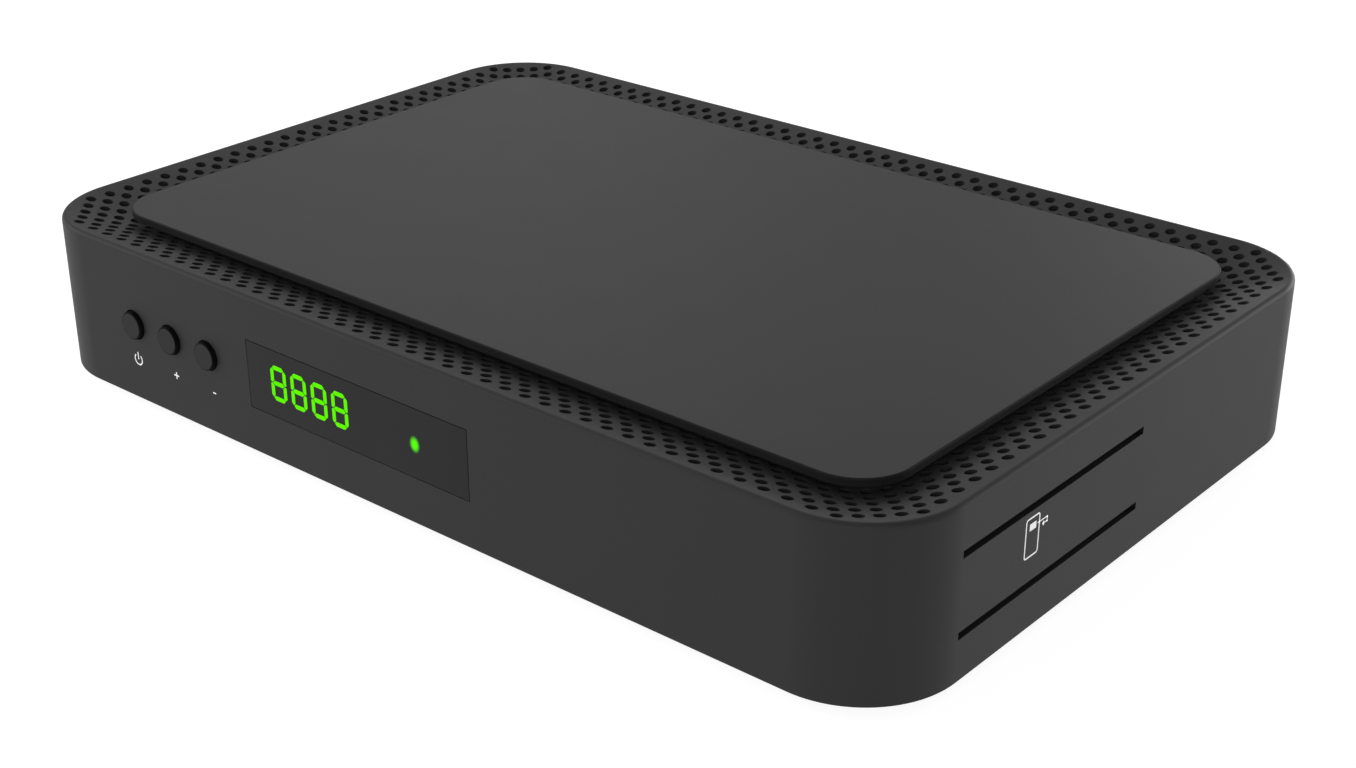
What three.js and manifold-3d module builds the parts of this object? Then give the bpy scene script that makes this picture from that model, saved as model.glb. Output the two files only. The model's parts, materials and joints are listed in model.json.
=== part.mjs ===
// Satellite TV receiver: a moulded case with a sunken, perforated vent deck under a raised top plate.
// Units are millimetres. +Z is up, the front faces -Y, and +X is to the right of the front.
// The object stands on its feet at z = 0, and its origin is the bottom centre of its bounding box.
import * as THREE from 'three';
import { mergeGeometries, mergeVertices } from 'three/addons/utils/BufferGeometryUtils.js';
import Module from 'manifold-3d';

const wasm = await Module();
wasm.setup();

// Case
const caseWidth = 220.8;
const caseDepth = 148.5;
const caseHeight = 33.4;
const cornerRadius = 19.4;
const cornerSegments = 5;
const wall = 2.4;
const rimFillet = 1;
const rimFilletSteps = 3;
const rimLip = 1.3;
const footStand = 2;

// Clearances
const seam = 0.25;
const seat = 0.1;
const overrun = 1;

// Vent deck
const deckSlope = 0.24;
const deckSlopeRun = 17.35;
const deckThickness = 1.8;
const ventPitchX = 4.72;
const ventPitchY = 4.84;
const ventSize = 2.5;
const ventSides = 4;
const ventMargin = 2.4;
const ventPlateMargin = 2;

// Top plate
const plateInsetX = 12.9;
const plateInsetY = 12.75;
const plateThickness = 1.7;
const plateCornerRadius = 10.3;
const plateRise = 0.1;
const plateEdgeBreak = 0.25;
const plateCollarRadius = 4;
const platePegRadius = 2.4;
const platePegGrip = 0.6;
const platePegShares = [[-0.36, -0.31], [0.36, -0.31], [-0.36, 0.31], [0.36, 0.31]];

// Front panel: heights are above the lower edge of the case
const panelMiddle = 16.85;
const buttonRadius = 2.95;
const buttonProud = 0.96;
const buttonEdgeFillet = 0.35;
const buttonPitch = 11.55;
const buttonInset = 34.6;
const buttonFlangeRadius = 4.3;
const buttonFlangeThickness = 1;
const buttonStemRadius = 1.5;
const buttonStemLength = 1.5;
const buttonSides = 16;
const buttonFreePlay = 0.3;
const windowInset = 70.6;
const windowLength = 59.7;
const windowHeight = 14.1;
const windowThickness = 1.5;
const windowLedge = 1.3;

// Tact switches
const switchWidth = 6;
const switchDepth = 3.4;
const plungerRadius = 1.75;
const plungerProud = 0.9;
const plungerBuried = 1;
const plungerBoreDepth = 2;
const plungerSides = 10;

// Front board and what it carries
const boardThickness = 1.6;
const frontBoardInset = 20;
const frontBoardPastWindow = 10.5;
const frontBoardLift = 4.5;
const frontBoardTopGap = 5.8;
const bossRadius = 3;
const bossSides = 8;
const frontBossInset = 4.5;
const digitModuleInset = 2.6;
const digitModuleWidth = 30.2;
const digitModuleHeight = 10.2;
const ledInset = 13.6;
const ledRadius = 1.5;
const ledFlangeRadius = 1.9;
const ledFlangeLength = 1;
const ledLength = 5.3;
const ledSides = 10;
const infraredInset = 5.5;
const infraredWidth = 5.4;
const infraredHeight = 6.8;
const infraredDepth = 3;
const infraredLensRadius = 2.2;
const headerLength = 25.4;
const headerHeight = 2.5;
const headerInset = 42;

// Card slots and readers
const slotInset = 19.55;
const slotLength = 57.1;
const slotHeight = 1.42;
const lowerSlotHeight = 8.97;
const upperSlotBelowRim = 9.46;
const readerLength = 58;
const readerSide = 1.5;
const readerBelowSlot = 1.76;
const readerHeight = 4.2;
const readerChannelHeight = 1.1;
const readerStop = 3;
const readerWindowLength = 12;
const readerWindowWidth = 14;
const readerWindowFromMouth = 18;

// Riser board that carries the upper reader
const riserOverhang = 5.2;
const riserLeftReach = 7.3;
const riserRightSetback = 3;
const spacerRadius = 2.2;
const spacerSides = 8;
const spacerInsetLeft = 6;
const spacerInsetRight = 10.3;
const riserConnectorWidth = 5;
const riserConnectorLength = 20.3;
const riserConnectorInset = 3.6;

// Main board
const mainBoardSideGap = 3.1;
const mainBoardFrontGap = 1.75;
const mainBoardRearGap = 6.55;
const mainBoardBossGap = 1.25;
const boardScrewInsetX = 7.5;
const boardScrewFrontInset = 14;
const boardScrewRearInset = 24;
const readerScrewGap = 7.3;
const boardScrewHoleRadius = 1.9;

// Screws
const screwRadius = 1.4;
const screwHeadRadius = 2.8;
const screwHeadHeight = 1;
const screwSides = 6;
const screwBite = 2.6;
const pilotRadius = 1.85;

// Base cover
const baseThickness = 2;
const baseRecess = 0.4;
const baseVentCount = 10;
const baseVentPitch = 7;
const baseVentWidth = 2.6;
const baseVentLength = 46;
const caseBossRadius = 4.6;
const caseBossBite = 0.4;
const caseBossHeight = 12;
const counterboreRadius = 3.2;
const counterboreDepth = 1.2;

// Feet
const footRadius = 6.5;
const footTaper = 0.8;
const footInset = 22;
const footSides = 12;

// Rear panel: the connectors stand in a row, at shares of the way from the LNB input to the DC inlet
const rearPanelThickness = 1.2;
const rearNotchInset = 24;
const rearNotchLip = 6.5;
const rearFlangeDepth = 8;
const connectorGap = 0.3;
const lnbInset = 16;
const dcInset = 20;
const ethernetShare = 0.25;
const usbShare = 0.42;
const hdmiShare = 0.58;
const opticalShare = 0.725;
const avShare = 0.845;

// Tuner and LNB input: heights of the connectors are above the top of the main board
const tunerWidth = 30;
const tunerDepth = 36;
const tunerHeight = 14.5;
const tunerEdge = 0.8;
const lnbHeight = 8.4;
const lnbThreadRadius = 4.7;
const lnbNutRadius = 6.2;
const lnbNutLength = 2.4;
const lnbNutSides = 6;
const lnbLength = 9.5;
const lnbBore = 2.2;
const lnbBoreDepth = 8;
const lnbSides = 12;
const lnbThreadGroove = 0.35;
const lnbThreads = 2;

// Ethernet jack
const ethernetWidth = 16;
const ethernetHeight = 13.4;
const ethernetDepth = 21;
const ethernetCavityWidth = 11.8;
const ethernetCavityHeight = 7.2;
const ethernetCavityDepth = 13;
const ethernetCavityLift = 3.6;
const ethernetLatchWidth = 6;
const ethernetLatchHeight = 1.8;

// USB and HDMI sockets
const usbWidth = 13.2;
const usbHeight = 5.8;
const usbDepth = 14;
const usbShell = 0.4;
const usbTongueWidth = 11;
const usbTongueHeight = 1.9;
const usbTongueLift = 2.8;
const usbTongueSetback = 1;
const hdmiWidth = 15;
const hdmiHeight = 5.6;
const hdmiDepth = 12;
const hdmiShell = 0.5;
const hdmiBevel = 1.6;
const hdmiTongueWidth = 10.6;
const hdmiTongueHeight = 1.3;
const hdmiTongueSetback = 1;
const socketDepthShare = 0.75;

// Optical output, AV jack and DC inlet
const opticalWidth = 9.7;
const opticalHeight = 9.7;
const opticalDepth = 13.4;
const opticalDoor = 5.4;
const opticalDoorDepth = 0.6;
const opticalGuideDepth = 3;
const opticalGuideWidth = 7.4;
const avWidth = 8;
const avHeight = 7;
const avDepth = 12;
const avCollarRadius = 3;
const avBore = 1.8;
const dcWidth = 9;
const dcHeight = 10.8;
const dcDepth = 13.2;
const dcBore = 3;
const dcPin = 0.95;
const dcPinSetback = 1;
const dcAxisHeight = 6.4;
const jackSides = 12;

// Chips, heat sink and power parts on the main board
const chipReaderGap = 61.3;
const chipY = 4;
const chipWidth = 23;
const chipHeight = 1.6;
const sinkWidth = 30;
const sinkBase = 2;
const sinkFinHeight = 7;
const sinkFinCount = 7;
const sinkFinThickness = 1.4;
const memoryWidth = 9;
const memoryLength = 14;
const memoryHeight = 1.2;
const memoryGap = 5;
const memorySpacing = 18;
const flashWidth = 12;
const flashLength = 20;
const flashReaderGap = 23.3;
const flashInset = 30.5;
const capacitorRadius = 4;
const capacitorHeight = 12;
const capacitorSides = 10;
const capacitorGroove = 0.4;
const capacitorGrooveRise = 0.8;
const capacitorInset = 20.5;
const capacitorRowY = 6;
const capacitorPitch = 11;
const inductorWidth = 12;
const inductorHeight = 6;
const inductorSides = 8;
const inductorInset = 22;

// Shared levels and planes
const caseBottom = footStand;
const caseTop = caseBottom + caseHeight;
const plateTop = caseTop + plateRise;
const plateUnderside = plateTop - plateThickness;
const baseUnderside = caseBottom + baseRecess;
const baseTop = baseUnderside + baseThickness;
const lowerSlotLevel = caseBottom + lowerSlotHeight;
const upperSlotLevel = caseTop - upperSlotBelowRim;
const partsLevel = lowerSlotLevel - readerBelowSlot;
const mainBoardTop = partsLevel - seat;
const mainBoardBottom = mainBoardTop - boardThickness;
const riserTop = upperSlotLevel - readerBelowSlot - seat;
const riserBottom = riserTop - boardThickness;
const panelAxis = caseBottom + panelMiddle;
const notchTop = caseTop - rearNotchLip;
const plateWidth = caseWidth - 2 * plateInsetX;
const plateDepth = caseDepth - 2 * plateInsetY;
const frontFace = -caseDepth / 2;
const rearFace = caseDepth / 2;
const frontInner = frontFace + wall;
const rightInner = caseWidth / 2 - wall;
const connectorFace = rearFace - rearPanelThickness;
const flangeFront = frontInner + connectorGap;
const stemEnd = flangeFront + buttonFlangeThickness + buttonStemLength;
const plungerFront = stemEnd + buttonFreePlay;
const switchFront = plungerFront + plungerProud;
const switchBack = switchFront + switchDepth;
const frontBoardFace = switchBack + seat;
const frontBoardBack = frontBoardFace + boardThickness;
const ledgeHeight = deckHeight(wall) - deckThickness - seat;

// Places along X of what the front wall and the front board carry
const buttonFirstX = -caseWidth / 2 + buttonInset;
const windowLeft = -caseWidth / 2 + windowInset;
const windowRight = windowLeft + windowLength;
const frontBoardLeft = -caseWidth / 2 + frontBoardInset;
const frontBoardRight = windowRight + frontBoardPastWindow;
const digitModuleLeft = windowLeft + digitModuleInset;
const ledX = windowRight - ledInset;
const infraredX = windowRight - infraredInset;
const headerX = frontBoardLeft + headerInset;

// Card readers, and the main board with what stands on it
const slotFront = frontFace + slotInset;
const readerMouth = rightInner - connectorGap;
const readerRear = readerMouth - readerLength;
const readerFront = slotFront - readerSide;
const readerBack = slotFront + slotLength + readerSide;
const mainBoardHalfWidth = rightInner - mainBoardSideGap;
const mainBoardFront = frontBoardBack + mainBoardFrontGap;
const mainBoardRear = connectorFace - mainBoardRearGap;
const chipX = readerRear - chipReaderGap;
const flashX = readerRear - flashReaderGap;
const flashY = mainBoardFront + flashInset;
const capacitorRowX = -mainBoardHalfWidth + capacitorInset;

// Connectors along the rear panel
const rearNotchHalfWidth = caseWidth / 2 - rearNotchInset;
const lnbX = rearNotchHalfWidth - lnbInset;
const dcX = -rearNotchHalfWidth + dcInset;
const [ethernetX, usbX, hdmiX, opticalX, avX] = [ethernetShare, usbShare, hdmiShare, opticalShare, avShare]
  .map((share) => lnbX + share * (dcX - lnbX));

// Materials
const casePlastic = material(0x45454a, 0.62, 0);
const platePlastic = material(0x4a4a4a, 0.55, 0);
const buttonPlastic = material(0x3f3f42, 0.6, 0);
const smokedPlastic = material(0x333336, 0.3, 0);
const blackPlastic = material(0x1a1a1a, 0.6, 0);
const rubber = material(0x151515, 0.9, 0);
const boardGreen = material(0x1f5a35, 0.5, 0);
const chipBlack = material(0x1b1b1d, 0.5, 0);
const steel = material(0xb4b6b8, 0.35, 0.9);
const nickel = material(0xc8c6bd, 0.3, 1);
const aluminium = material(0xa9adb0, 0.4, 0.9);
const capacitorSleeve = material(0x24324f, 0.4, 0.1);
const ledGreen = material(0x5aff00, 0.3, 0);

function material(color, roughness, metalness) {
  return new THREE.MeshStandardMaterial({ color, roughness, metalness });
}

// Height of the sloping deck surface at a distance inside the outline of the case
function deckHeight(inset) {
  return caseTop - deckSlope * Math.min(inset, deckSlopeRun);
}

// Turn a closed three.js geometry into a solid, and back
function solid(source) {
  const bare = source.clone();
  bare.deleteAttribute('normal');
  bare.deleteAttribute('uv');
  const merged = mergeVertices(bare, 1e-4);
  return new wasm.Manifold(new wasm.Mesh({
    numProp: 3,
    vertProperties: new Float32Array(merged.attributes.position.array),
    triVerts: new Uint32Array(merged.index.array),
  }));
}

function toGeometry(manifold) {
  const mesh = manifold.getMesh();
  const geometry = new THREE.BufferGeometry();
  geometry.setAttribute('position', new THREE.BufferAttribute(new Float32Array(mesh.vertProperties), 3));
  geometry.setIndex(new THREE.BufferAttribute(new Uint32Array(mesh.triVerts), 1));
  return geometry;
}

function cut(body, tools) {
  return tools.reduce((rest, tool) => rest.subtract(solid(tool)), body);
}

function join(parts) {
  return parts.map(solid).reduce((sum, part) => sum.add(part));
}

// A box between two corners
function box(x0, x1, y0, y1, z0, z1) {
  const geometry = new THREE.BoxGeometry(x1 - x0, y1 - y0, z1 - z0);
  return geometry.translate((x0 + x1) / 2, (y0 + y1) / 2, (z0 + z1) / 2);
}

// A box standing on a level, with its centre in plan and its width and depth
function blockOn(x, y, width, depth, level, height) {
  return box(x - width / 2, x + width / 2, y - depth / 2, y + depth / 2, level, level + height);
}

// A round post along Z
function post(x, y, radius, z0, z1, sides) {
  const geometry = new THREE.CylinderGeometry(radius, radius, z1 - z0, sides);
  return geometry.rotateX(Math.PI / 2).translate(x, y, (z0 + z1) / 2);
}

// A round bar along Y
function bar(x, z, radius, y0, y1, sides) {
  const geometry = new THREE.CylinderGeometry(radius, radius, y1 - y0, sides);
  return geometry.rotateY(Math.PI / sides).translate(x, (y0 + y1) / 2, z);
}

// A turned piece: the profile is a list of [radius, distance] along Z
function turnedZ(profile, sides) {
  const points = profile.map(([radius, along]) => new THREE.Vector2(radius, along));
  return new THREE.LatheGeometry(points, sides).rotateX(Math.PI / 2);
}

// A turned piece whose distances run along +Y from its place
function turnedY(profile, sides, x, z) {
  const points = profile.map(([radius, along]) => new THREE.Vector2(radius, along));
  return new THREE.LatheGeometry(points, sides).translate(x, 0, z);
}

// The rounded rectangle of the case or plate, drawn in by an inset
function roundedOutline(width, depth, radius, inset, z) {
  const cornerShare = Math.max(radius - inset, rimFillet);
  const reachX = width / 2 - inset - cornerShare;
  const reachY = depth / 2 - inset - cornerShare;
  const corners = [[1, 1, 0], [-1, 1, 1], [-1, -1, 2], [1, -1, 3]];
  const points = [];
  for (const [signX, signY, quarter] of corners) {
    for (let step = 0; step <= cornerSegments; step += 1) {
      const angle = (quarter + step / cornerSegments) * Math.PI / 2;
      const x = signX * reachX + cornerShare * Math.cos(angle);
      const y = signY * reachY + cornerShare * Math.sin(angle);
      points.push([x, y, z]);
    }
  }
  return points;
}

// A closed solid through a stack of outlines that have the same number of points
function loft(outlines) {
  const count = outlines[0].length;
  const positions = outlines.flat(2);
  const index = [];
  for (let layer = 0; layer < outlines.length - 1; layer += 1) {
    for (let i = 0; i < count; i += 1) {
      const a = layer * count + i;
      const b = layer * count + (i + 1) % count;
      index.push(a, b, b + count);
      index.push(a, b + count, a + count);
    }
  }
  const last = (outlines.length - 1) * count;
  for (let i = 1; i < count - 1; i += 1) {
    index.push(0, i + 1, i);
    index.push(last, last + i, last + i + 1);
  }
  const geometry = new THREE.BufferGeometry();
  geometry.setAttribute('position', new THREE.Float32BufferAttribute(positions, 3));
  geometry.setIndex(index);
  return geometry;
}

function caseLoft(steps) {
  return loft(steps.map(([inset, z]) => roundedOutline(caseWidth, caseDepth, cornerRadius, inset, z)));
}

// Distance from a point in plan to the outline of a rounded rectangle, positive inside
function outlineDistance(x, y, width, depth, radius) {
  const dx = Math.abs(x) - (width / 2 - radius);
  const dy = Math.abs(y) - (depth / 2 - radius);
  if (dx > 0 && dy > 0) {
    return radius - Math.hypot(dx, dy);
  }
  return radius - Math.max(dx, dy);
}

// Rim of the case: a fillet between the wall and the slope of the deck
function rimSteps() {
  const slopeAngle = Math.PI / 2 - Math.atan(deckSlope);
  const centre = deckHeight(rimFillet * (1 - Math.cos(slopeAngle))) - rimFillet * Math.sin(slopeAngle);
  const steps = [];
  for (let step = 0; step <= rimFilletSteps; step += 1) {
    const angle = slopeAngle * step / rimFilletSteps;
    steps.push([rimFillet * (1 - Math.cos(angle)), centre + rimFillet * Math.sin(angle)]);
  }
  return steps;
}

// Places that several pieces share
const buttonPlaces = [0, 1, 2].map((number) => buttonFirstX + number * buttonPitch);
const frontBossPlaces = [frontBoardLeft + frontBossInset, frontBoardRight - frontBossInset];
const caseBossReach = cornerRadius - wall - caseBossRadius + caseBossBite;
const caseBossX = caseWidth / 2 - cornerRadius + caseBossReach * Math.SQRT1_2;
const caseBossY = caseDepth / 2 - cornerRadius + caseBossReach * Math.SQRT1_2;
const caseBossPlaces = [[caseBossX, caseBossY], [-caseBossX, caseBossY],
  [-caseBossX, -caseBossY], [caseBossX, -caseBossY]];
const boardScrewPlaces = [
  [-mainBoardHalfWidth + boardScrewInsetX, mainBoardFront + boardScrewFrontInset],
  [-mainBoardHalfWidth + boardScrewInsetX, mainBoardRear - boardScrewRearInset],
  [readerRear - readerScrewGap, mainBoardFront + boardScrewFrontInset],
  [mainBoardHalfWidth - boardScrewInsetX, mainBoardRear - boardScrewRearInset],
];
const platePegPlaces = platePegShares.map(([shareX, shareY]) => [shareX * plateWidth, shareY * plateDepth]);

// Upper case: walls, rim, deck ledge, front openings, card slots, rear notch and screw bosses
function upperCase() {
  const outside = solid(caseLoft([[0, caseBottom], ...rimSteps(), [wall, deckHeight(wall)]]));
  const inside = caseLoft([
    [wall, caseBottom - overrun],
    [wall, ledgeHeight],
    [rimLip, ledgeHeight],
    [rimLip, caseTop + overrun],
  ]);
  const shell = outside.subtract(solid(inside));
  const frontBosses = frontBossPlaces.map((x) => (
    bar(x, panelAxis, bossRadius, frontInner - overrun, frontBoardFace - seat, bossSides)));
  const caseBosses = caseBossPlaces.map(([x, y]) => (
    post(x, y, caseBossRadius, baseTop + seat, baseTop + caseBossHeight, bossSides)));
  const bossed = [...frontBosses, ...caseBosses].reduce((sum, boss) => sum.add(solid(boss)), shell);
  const pilots = caseBossPlaces.map(([x, y]) => (
    post(x, y, pilotRadius, baseTop - overrun, baseTop + caseBossHeight - wall, screwSides)));
  const frontPilots = frontBossPlaces.map((x) => (
    bar(x, panelAxis, pilotRadius, frontInner + wall / 2, frontBoardFace + overrun, screwSides)));
  return cut(bossed, [...pilots, ...frontPilots, ...frontOpenings(), ...cardSlots(), rearNotch()]);
}

function frontOpenings() {
  const windowBack = frontFace + windowThickness + seat;
  const halfHeight = windowHeight / 2;
  const recess = box(windowLeft - seam, windowRight + seam, frontFace - overrun, windowBack,
    panelAxis - halfHeight - seam, panelAxis + halfHeight + seam);
  const opening = box(windowLeft + windowLedge, windowRight - windowLedge, frontFace, frontInner + overrun,
    panelAxis - halfHeight + windowLedge, panelAxis + halfHeight - windowLedge);
  const buttonHoles = buttonPlaces.map((x) => (
    bar(x, panelAxis, buttonRadius + seam, frontFace - overrun, frontInner + overrun, buttonSides)));
  return [recess, opening, ...buttonHoles];
}

function cardSlots() {
  return [lowerSlotLevel, upperSlotLevel].map((level) => (
    box(rightInner - overrun, caseWidth / 2 + overrun, slotFront, slotFront + slotLength,
      level - slotHeight / 2, level + slotHeight / 2)));
}

function rearNotch() {
  return box(-rearNotchHalfWidth, rearNotchHalfWidth, rearFace - wall - overrun, rearFace + overrun,
    caseBottom - overrun, notchTop);
}

// Vent deck: slopes down from the rim to a sunken floor, pierced by staggered rows of vents
function ventDeck() {
  const edge = rimLip + seam;
  const floor = deckHeight(deckSlopeRun);
  const body = solid(caseLoft([
    [deckSlopeRun, floor - deckThickness],
    [edge, deckHeight(edge) - deckThickness],
    [edge, deckHeight(edge)],
    [deckSlopeRun, floor],
  ]));
  const pegHoles = platePegPlaces.map(([x, y]) => (
    post(x, y, platePegRadius + seam, floor - deckThickness - overrun, floor + overrun, bossSides)));
  const vents = ventPlaces().map(([x, y]) => (
    post(x, y, ventSize / 2, floor - deckThickness - overrun, caseTop + overrun, ventSides)));
  return cut(body, [mergeGeometries([...pegHoles, ...vents])]);
}

// Vents stand on a staggered grid, in the band of deck between the rim and the top plate
function ventPlaces() {
  const columns = Math.ceil(caseWidth / ventPitchX);
  const rows = Math.ceil(caseDepth / ventPitchY);
  const places = [];
  for (let i = -columns; i <= columns; i += 1) {
    for (let j = -rows; j <= rows; j += 1) {
      const x = i * ventPitchX / 2;
      const y = j * ventPitchY / 2;
      const insideRim = outlineDistance(x, y, caseWidth, caseDepth, cornerRadius) >= ventMargin;
      const insidePlate = outlineDistance(x, y, plateWidth, plateDepth, plateCornerRadius);
      if ((i + j) % 2 === 0 && insideRim && insidePlate <= -ventPlateMargin) {
        places.push([x, y]);
      }
    }
  }
  return places;
}

// Top plate: a flat plate on four collars, whose pegs pass through the floor of the deck
function topPlate() {
  const steps = [[0, plateUnderside], [0, plateTop - plateEdgeBreak], [plateEdgeBreak, plateTop]];
  const plate = loft(steps.map(([inset, z]) => (
    roundedOutline(plateWidth, plateDepth, plateCornerRadius, inset, z))));
  const floor = deckHeight(deckSlopeRun);
  const pegEnd = floor - deckThickness - platePegGrip;
  const middle = plateTop - plateThickness / 2;
  const collars = platePegPlaces.map(([x, y]) => (
    post(x, y, plateCollarRadius, floor + seat, middle, bossSides)));
  const pegs = platePegPlaces.map(([x, y]) => (
    post(x, y, platePegRadius, pegEnd, middle, bossSides)));
  return join([plate, ...collars, ...pegs]);
}

// Base cover: closes the case from below, with vents, screw holes and standoffs for the main board
function baseCover() {
  const inset = wall + seam;
  const plate = caseLoft([[inset, baseUnderside], [inset, baseTop]]);
  const standoffs = boardScrewPlaces.map(([x, y]) => (
    post(x, y, bossRadius, baseTop - seat, mainBoardBottom - seat, bossSides)));
  const pilots = boardScrewPlaces.map(([x, y]) => (
    post(x, y, pilotRadius, baseUnderside + baseThickness / 2, mainBoardBottom + overrun, screwSides)));
  const screwHoles = caseBossPlaces.map(([x, y]) => (
    post(x, y, pilotRadius, baseUnderside - overrun, baseTop + overrun, screwSides)));
  const counterbores = caseBossPlaces.map(([x, y]) => (
    post(x, y, counterboreRadius, baseUnderside - overrun, baseUnderside + counterboreDepth, bossSides)));
  const vents = [];
  for (let number = 0; number < baseVentCount; number += 1) {
    const x = (number - (baseVentCount - 1) / 2) * baseVentPitch;
    vents.push(blockOn(x, 0, baseVentWidth, baseVentLength, baseUnderside - overrun,
      baseThickness + 2 * overrun));
  }
  return cut(join([plate, ...standoffs]), [...pilots, ...screwHoles, ...counterbores, ...vents]);
}

// Display window: a smoked sheet flush with the front wall
function displayWindow() {
  return solid(box(windowLeft, windowRight, frontFace, frontFace + windowThickness,
    panelAxis - windowHeight / 2, panelAxis + windowHeight / 2));
}

// Push button: a cap that stands proud of the wall, with a flange and a stem behind it
function pushButton(x) {
  const front = frontFace - buttonProud;
  const flangeBack = flangeFront + buttonFlangeThickness;
  return solid(turnedY([
    [0, front],
    [buttonRadius - buttonEdgeFillet, front],
    [buttonRadius - buttonEdgeFillet * (1 - Math.SQRT1_2), front + buttonEdgeFillet * (1 - Math.SQRT1_2)],
    [buttonRadius, front + buttonEdgeFillet],
    [buttonRadius, flangeFront],
    [buttonFlangeRadius, flangeFront],
    [buttonFlangeRadius, flangeBack],
    [buttonStemRadius, flangeBack],
    [buttonStemRadius, stemEnd],
    [0, stemEnd],
  ], buttonSides, x, panelAxis));
}

// Tact switch behind a button: a housing with a round bore, and the plunger that slides in it
function tactSwitch(x) {
  const half = switchWidth / 2;
  const housing = box(x - half, x + half, switchFront, switchBack, panelAxis - half, panelAxis + half);
  const bore = bar(x, panelAxis, plungerRadius + seam, switchFront - overrun,
    switchFront + plungerBoreDepth, plungerSides);
  return cut(solid(housing), [bore]);
}

function switchPlunger(x) {
  return solid(bar(x, panelAxis, plungerRadius, plungerFront, switchFront + plungerBuried, plungerSides));
}

// Front board: carries the switches, digits, status LED and infrared receiver
function frontBoard() {
  const board = box(frontBoardLeft, frontBoardRight, frontBoardFace, frontBoardBack,
    caseBottom + frontBoardLift, caseTop - frontBoardTopGap);
  const holes = frontBossPlaces.map((x) => (
    bar(x, panelAxis, boardScrewHoleRadius, frontBoardFace - overrun, frontBoardBack + overrun,
      screwSides)));
  return cut(solid(board), holes);
}

function frontBoardScrew(x) {
  const headBack = frontBoardBack + seat + screwHeadHeight;
  const shankEnd = frontBoardFace - screwBite;
  return solid(turnedY([
    [0, shankEnd],
    [screwRadius, shankEnd],
    [screwRadius, frontBoardBack + seat],
    [screwHeadRadius, frontBoardBack + seat],
    [screwHeadRadius, headBack],
    [0, headBack],
  ], screwSides, x, panelAxis));
}

function frontBoardHeader() {
  return solid(box(headerX - headerLength / 2, headerX + headerLength / 2, frontBoardBack + seat,
    mainBoardFront + headerHeight, partsLevel, partsLevel + headerHeight));
}

function digitDisplay() {
  return solid(box(digitModuleLeft, digitModuleLeft + digitModuleWidth,
    frontFace + windowThickness + seam, frontBoardFace - seat,
    panelAxis - digitModuleHeight / 2, panelAxis + digitModuleHeight / 2));
}

function statusLed() {
  const back = frontBoardFace - seat;
  const tip = back - ledLength;
  return solid(turnedY([
    [0, tip],
    [ledRadius * Math.SQRT1_2, tip + ledRadius * (1 - Math.SQRT1_2)],
    [ledRadius, tip + ledRadius],
    [ledRadius, back - ledFlangeLength],
    [ledFlangeRadius, back - ledFlangeLength],
    [ledFlangeRadius, back],
    [0, back],
  ], ledSides, ledX, panelAxis));
}

function infraredReceiver() {
  const back = frontBoardFace - seat;
  const face = back - infraredDepth;
  const housing = box(infraredX - infraredWidth / 2, infraredX + infraredWidth / 2, face, back,
    panelAxis - infraredHeight / 2, panelAxis + infraredHeight / 2);
  const lens = turnedY([
    [0, face - infraredLensRadius],
    [infraredLensRadius * Math.SQRT1_2, face - infraredLensRadius * Math.SQRT1_2],
    [infraredLensRadius, face],
    [infraredLensRadius, face + overrun],
    [0, face + overrun],
  ], ledSides, infraredX, panelAxis);
  return join([housing, lens]);
}

// Main board: its corners are cut off to clear the screw bosses of the case
function mainBoard() {
  const cornerReach = caseBossX + caseBossY - (caseBossRadius + mainBoardBossGap) * Math.SQRT2;
  const frontCut = mainBoardHalfWidth - mainBoardFront - cornerReach;
  const rearCut = mainBoardHalfWidth + mainBoardRear - cornerReach;
  const outline = new THREE.Shape();
  outline.moveTo(-mainBoardHalfWidth + frontCut, mainBoardFront);
  outline.lineTo(mainBoardHalfWidth - frontCut, mainBoardFront);
  outline.lineTo(mainBoardHalfWidth, mainBoardFront + frontCut);
  outline.lineTo(mainBoardHalfWidth, mainBoardRear - rearCut);
  outline.lineTo(mainBoardHalfWidth - rearCut, mainBoardRear);
  outline.lineTo(-mainBoardHalfWidth + rearCut, mainBoardRear);
  outline.lineTo(-mainBoardHalfWidth, mainBoardRear - rearCut);
  outline.lineTo(-mainBoardHalfWidth, mainBoardFront + frontCut);
  const slab = new THREE.ExtrudeGeometry(outline, { depth: boardThickness, bevelEnabled: false });
  const holes = boardScrewPlaces.map(([x, y]) => (
    post(x, y, boardScrewHoleRadius, mainBoardBottom - overrun, mainBoardTop + overrun, screwSides)));
  return cut(solid(slab.translate(0, 0, mainBoardBottom)), holes);
}

function boardScrew([x, y]) {
  const end = mainBoardBottom - screwBite;
  return solid(turnedZ([
    [0, end],
    [screwRadius, end],
    [screwRadius, partsLevel],
    [screwHeadRadius, partsLevel],
    [screwHeadRadius, partsLevel + screwHeadHeight],
    [0, partsLevel + screwHeadHeight],
  ], screwSides).translate(x, y, 0));
}

// Case screw: comes up through the base cover into a boss of the upper case
function caseScrew([x, y]) {
  const head = baseUnderside + seat;
  const neck = head + screwHeadHeight;
  const tip = baseTop + 2 * screwBite;
  return solid(turnedZ([
    [0, head],
    [screwHeadRadius, head],
    [screwHeadRadius, neck],
    [screwRadius, neck],
    [screwRadius, tip],
    [0, tip],
  ], screwSides).translate(x, y, 0));
}

// Rubber foot under the base cover
function foot(signX, signY) {
  const top = baseUnderside - seat;
  return solid(turnedZ([
    [0, 0],
    [footRadius - footTaper, 0],
    [footRadius, footTaper],
    [footRadius, top],
    [0, top],
  ], footSides).translate(signX * (caseWidth / 2 - footInset), signY * (caseDepth / 2 - footInset), 0));
}

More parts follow.
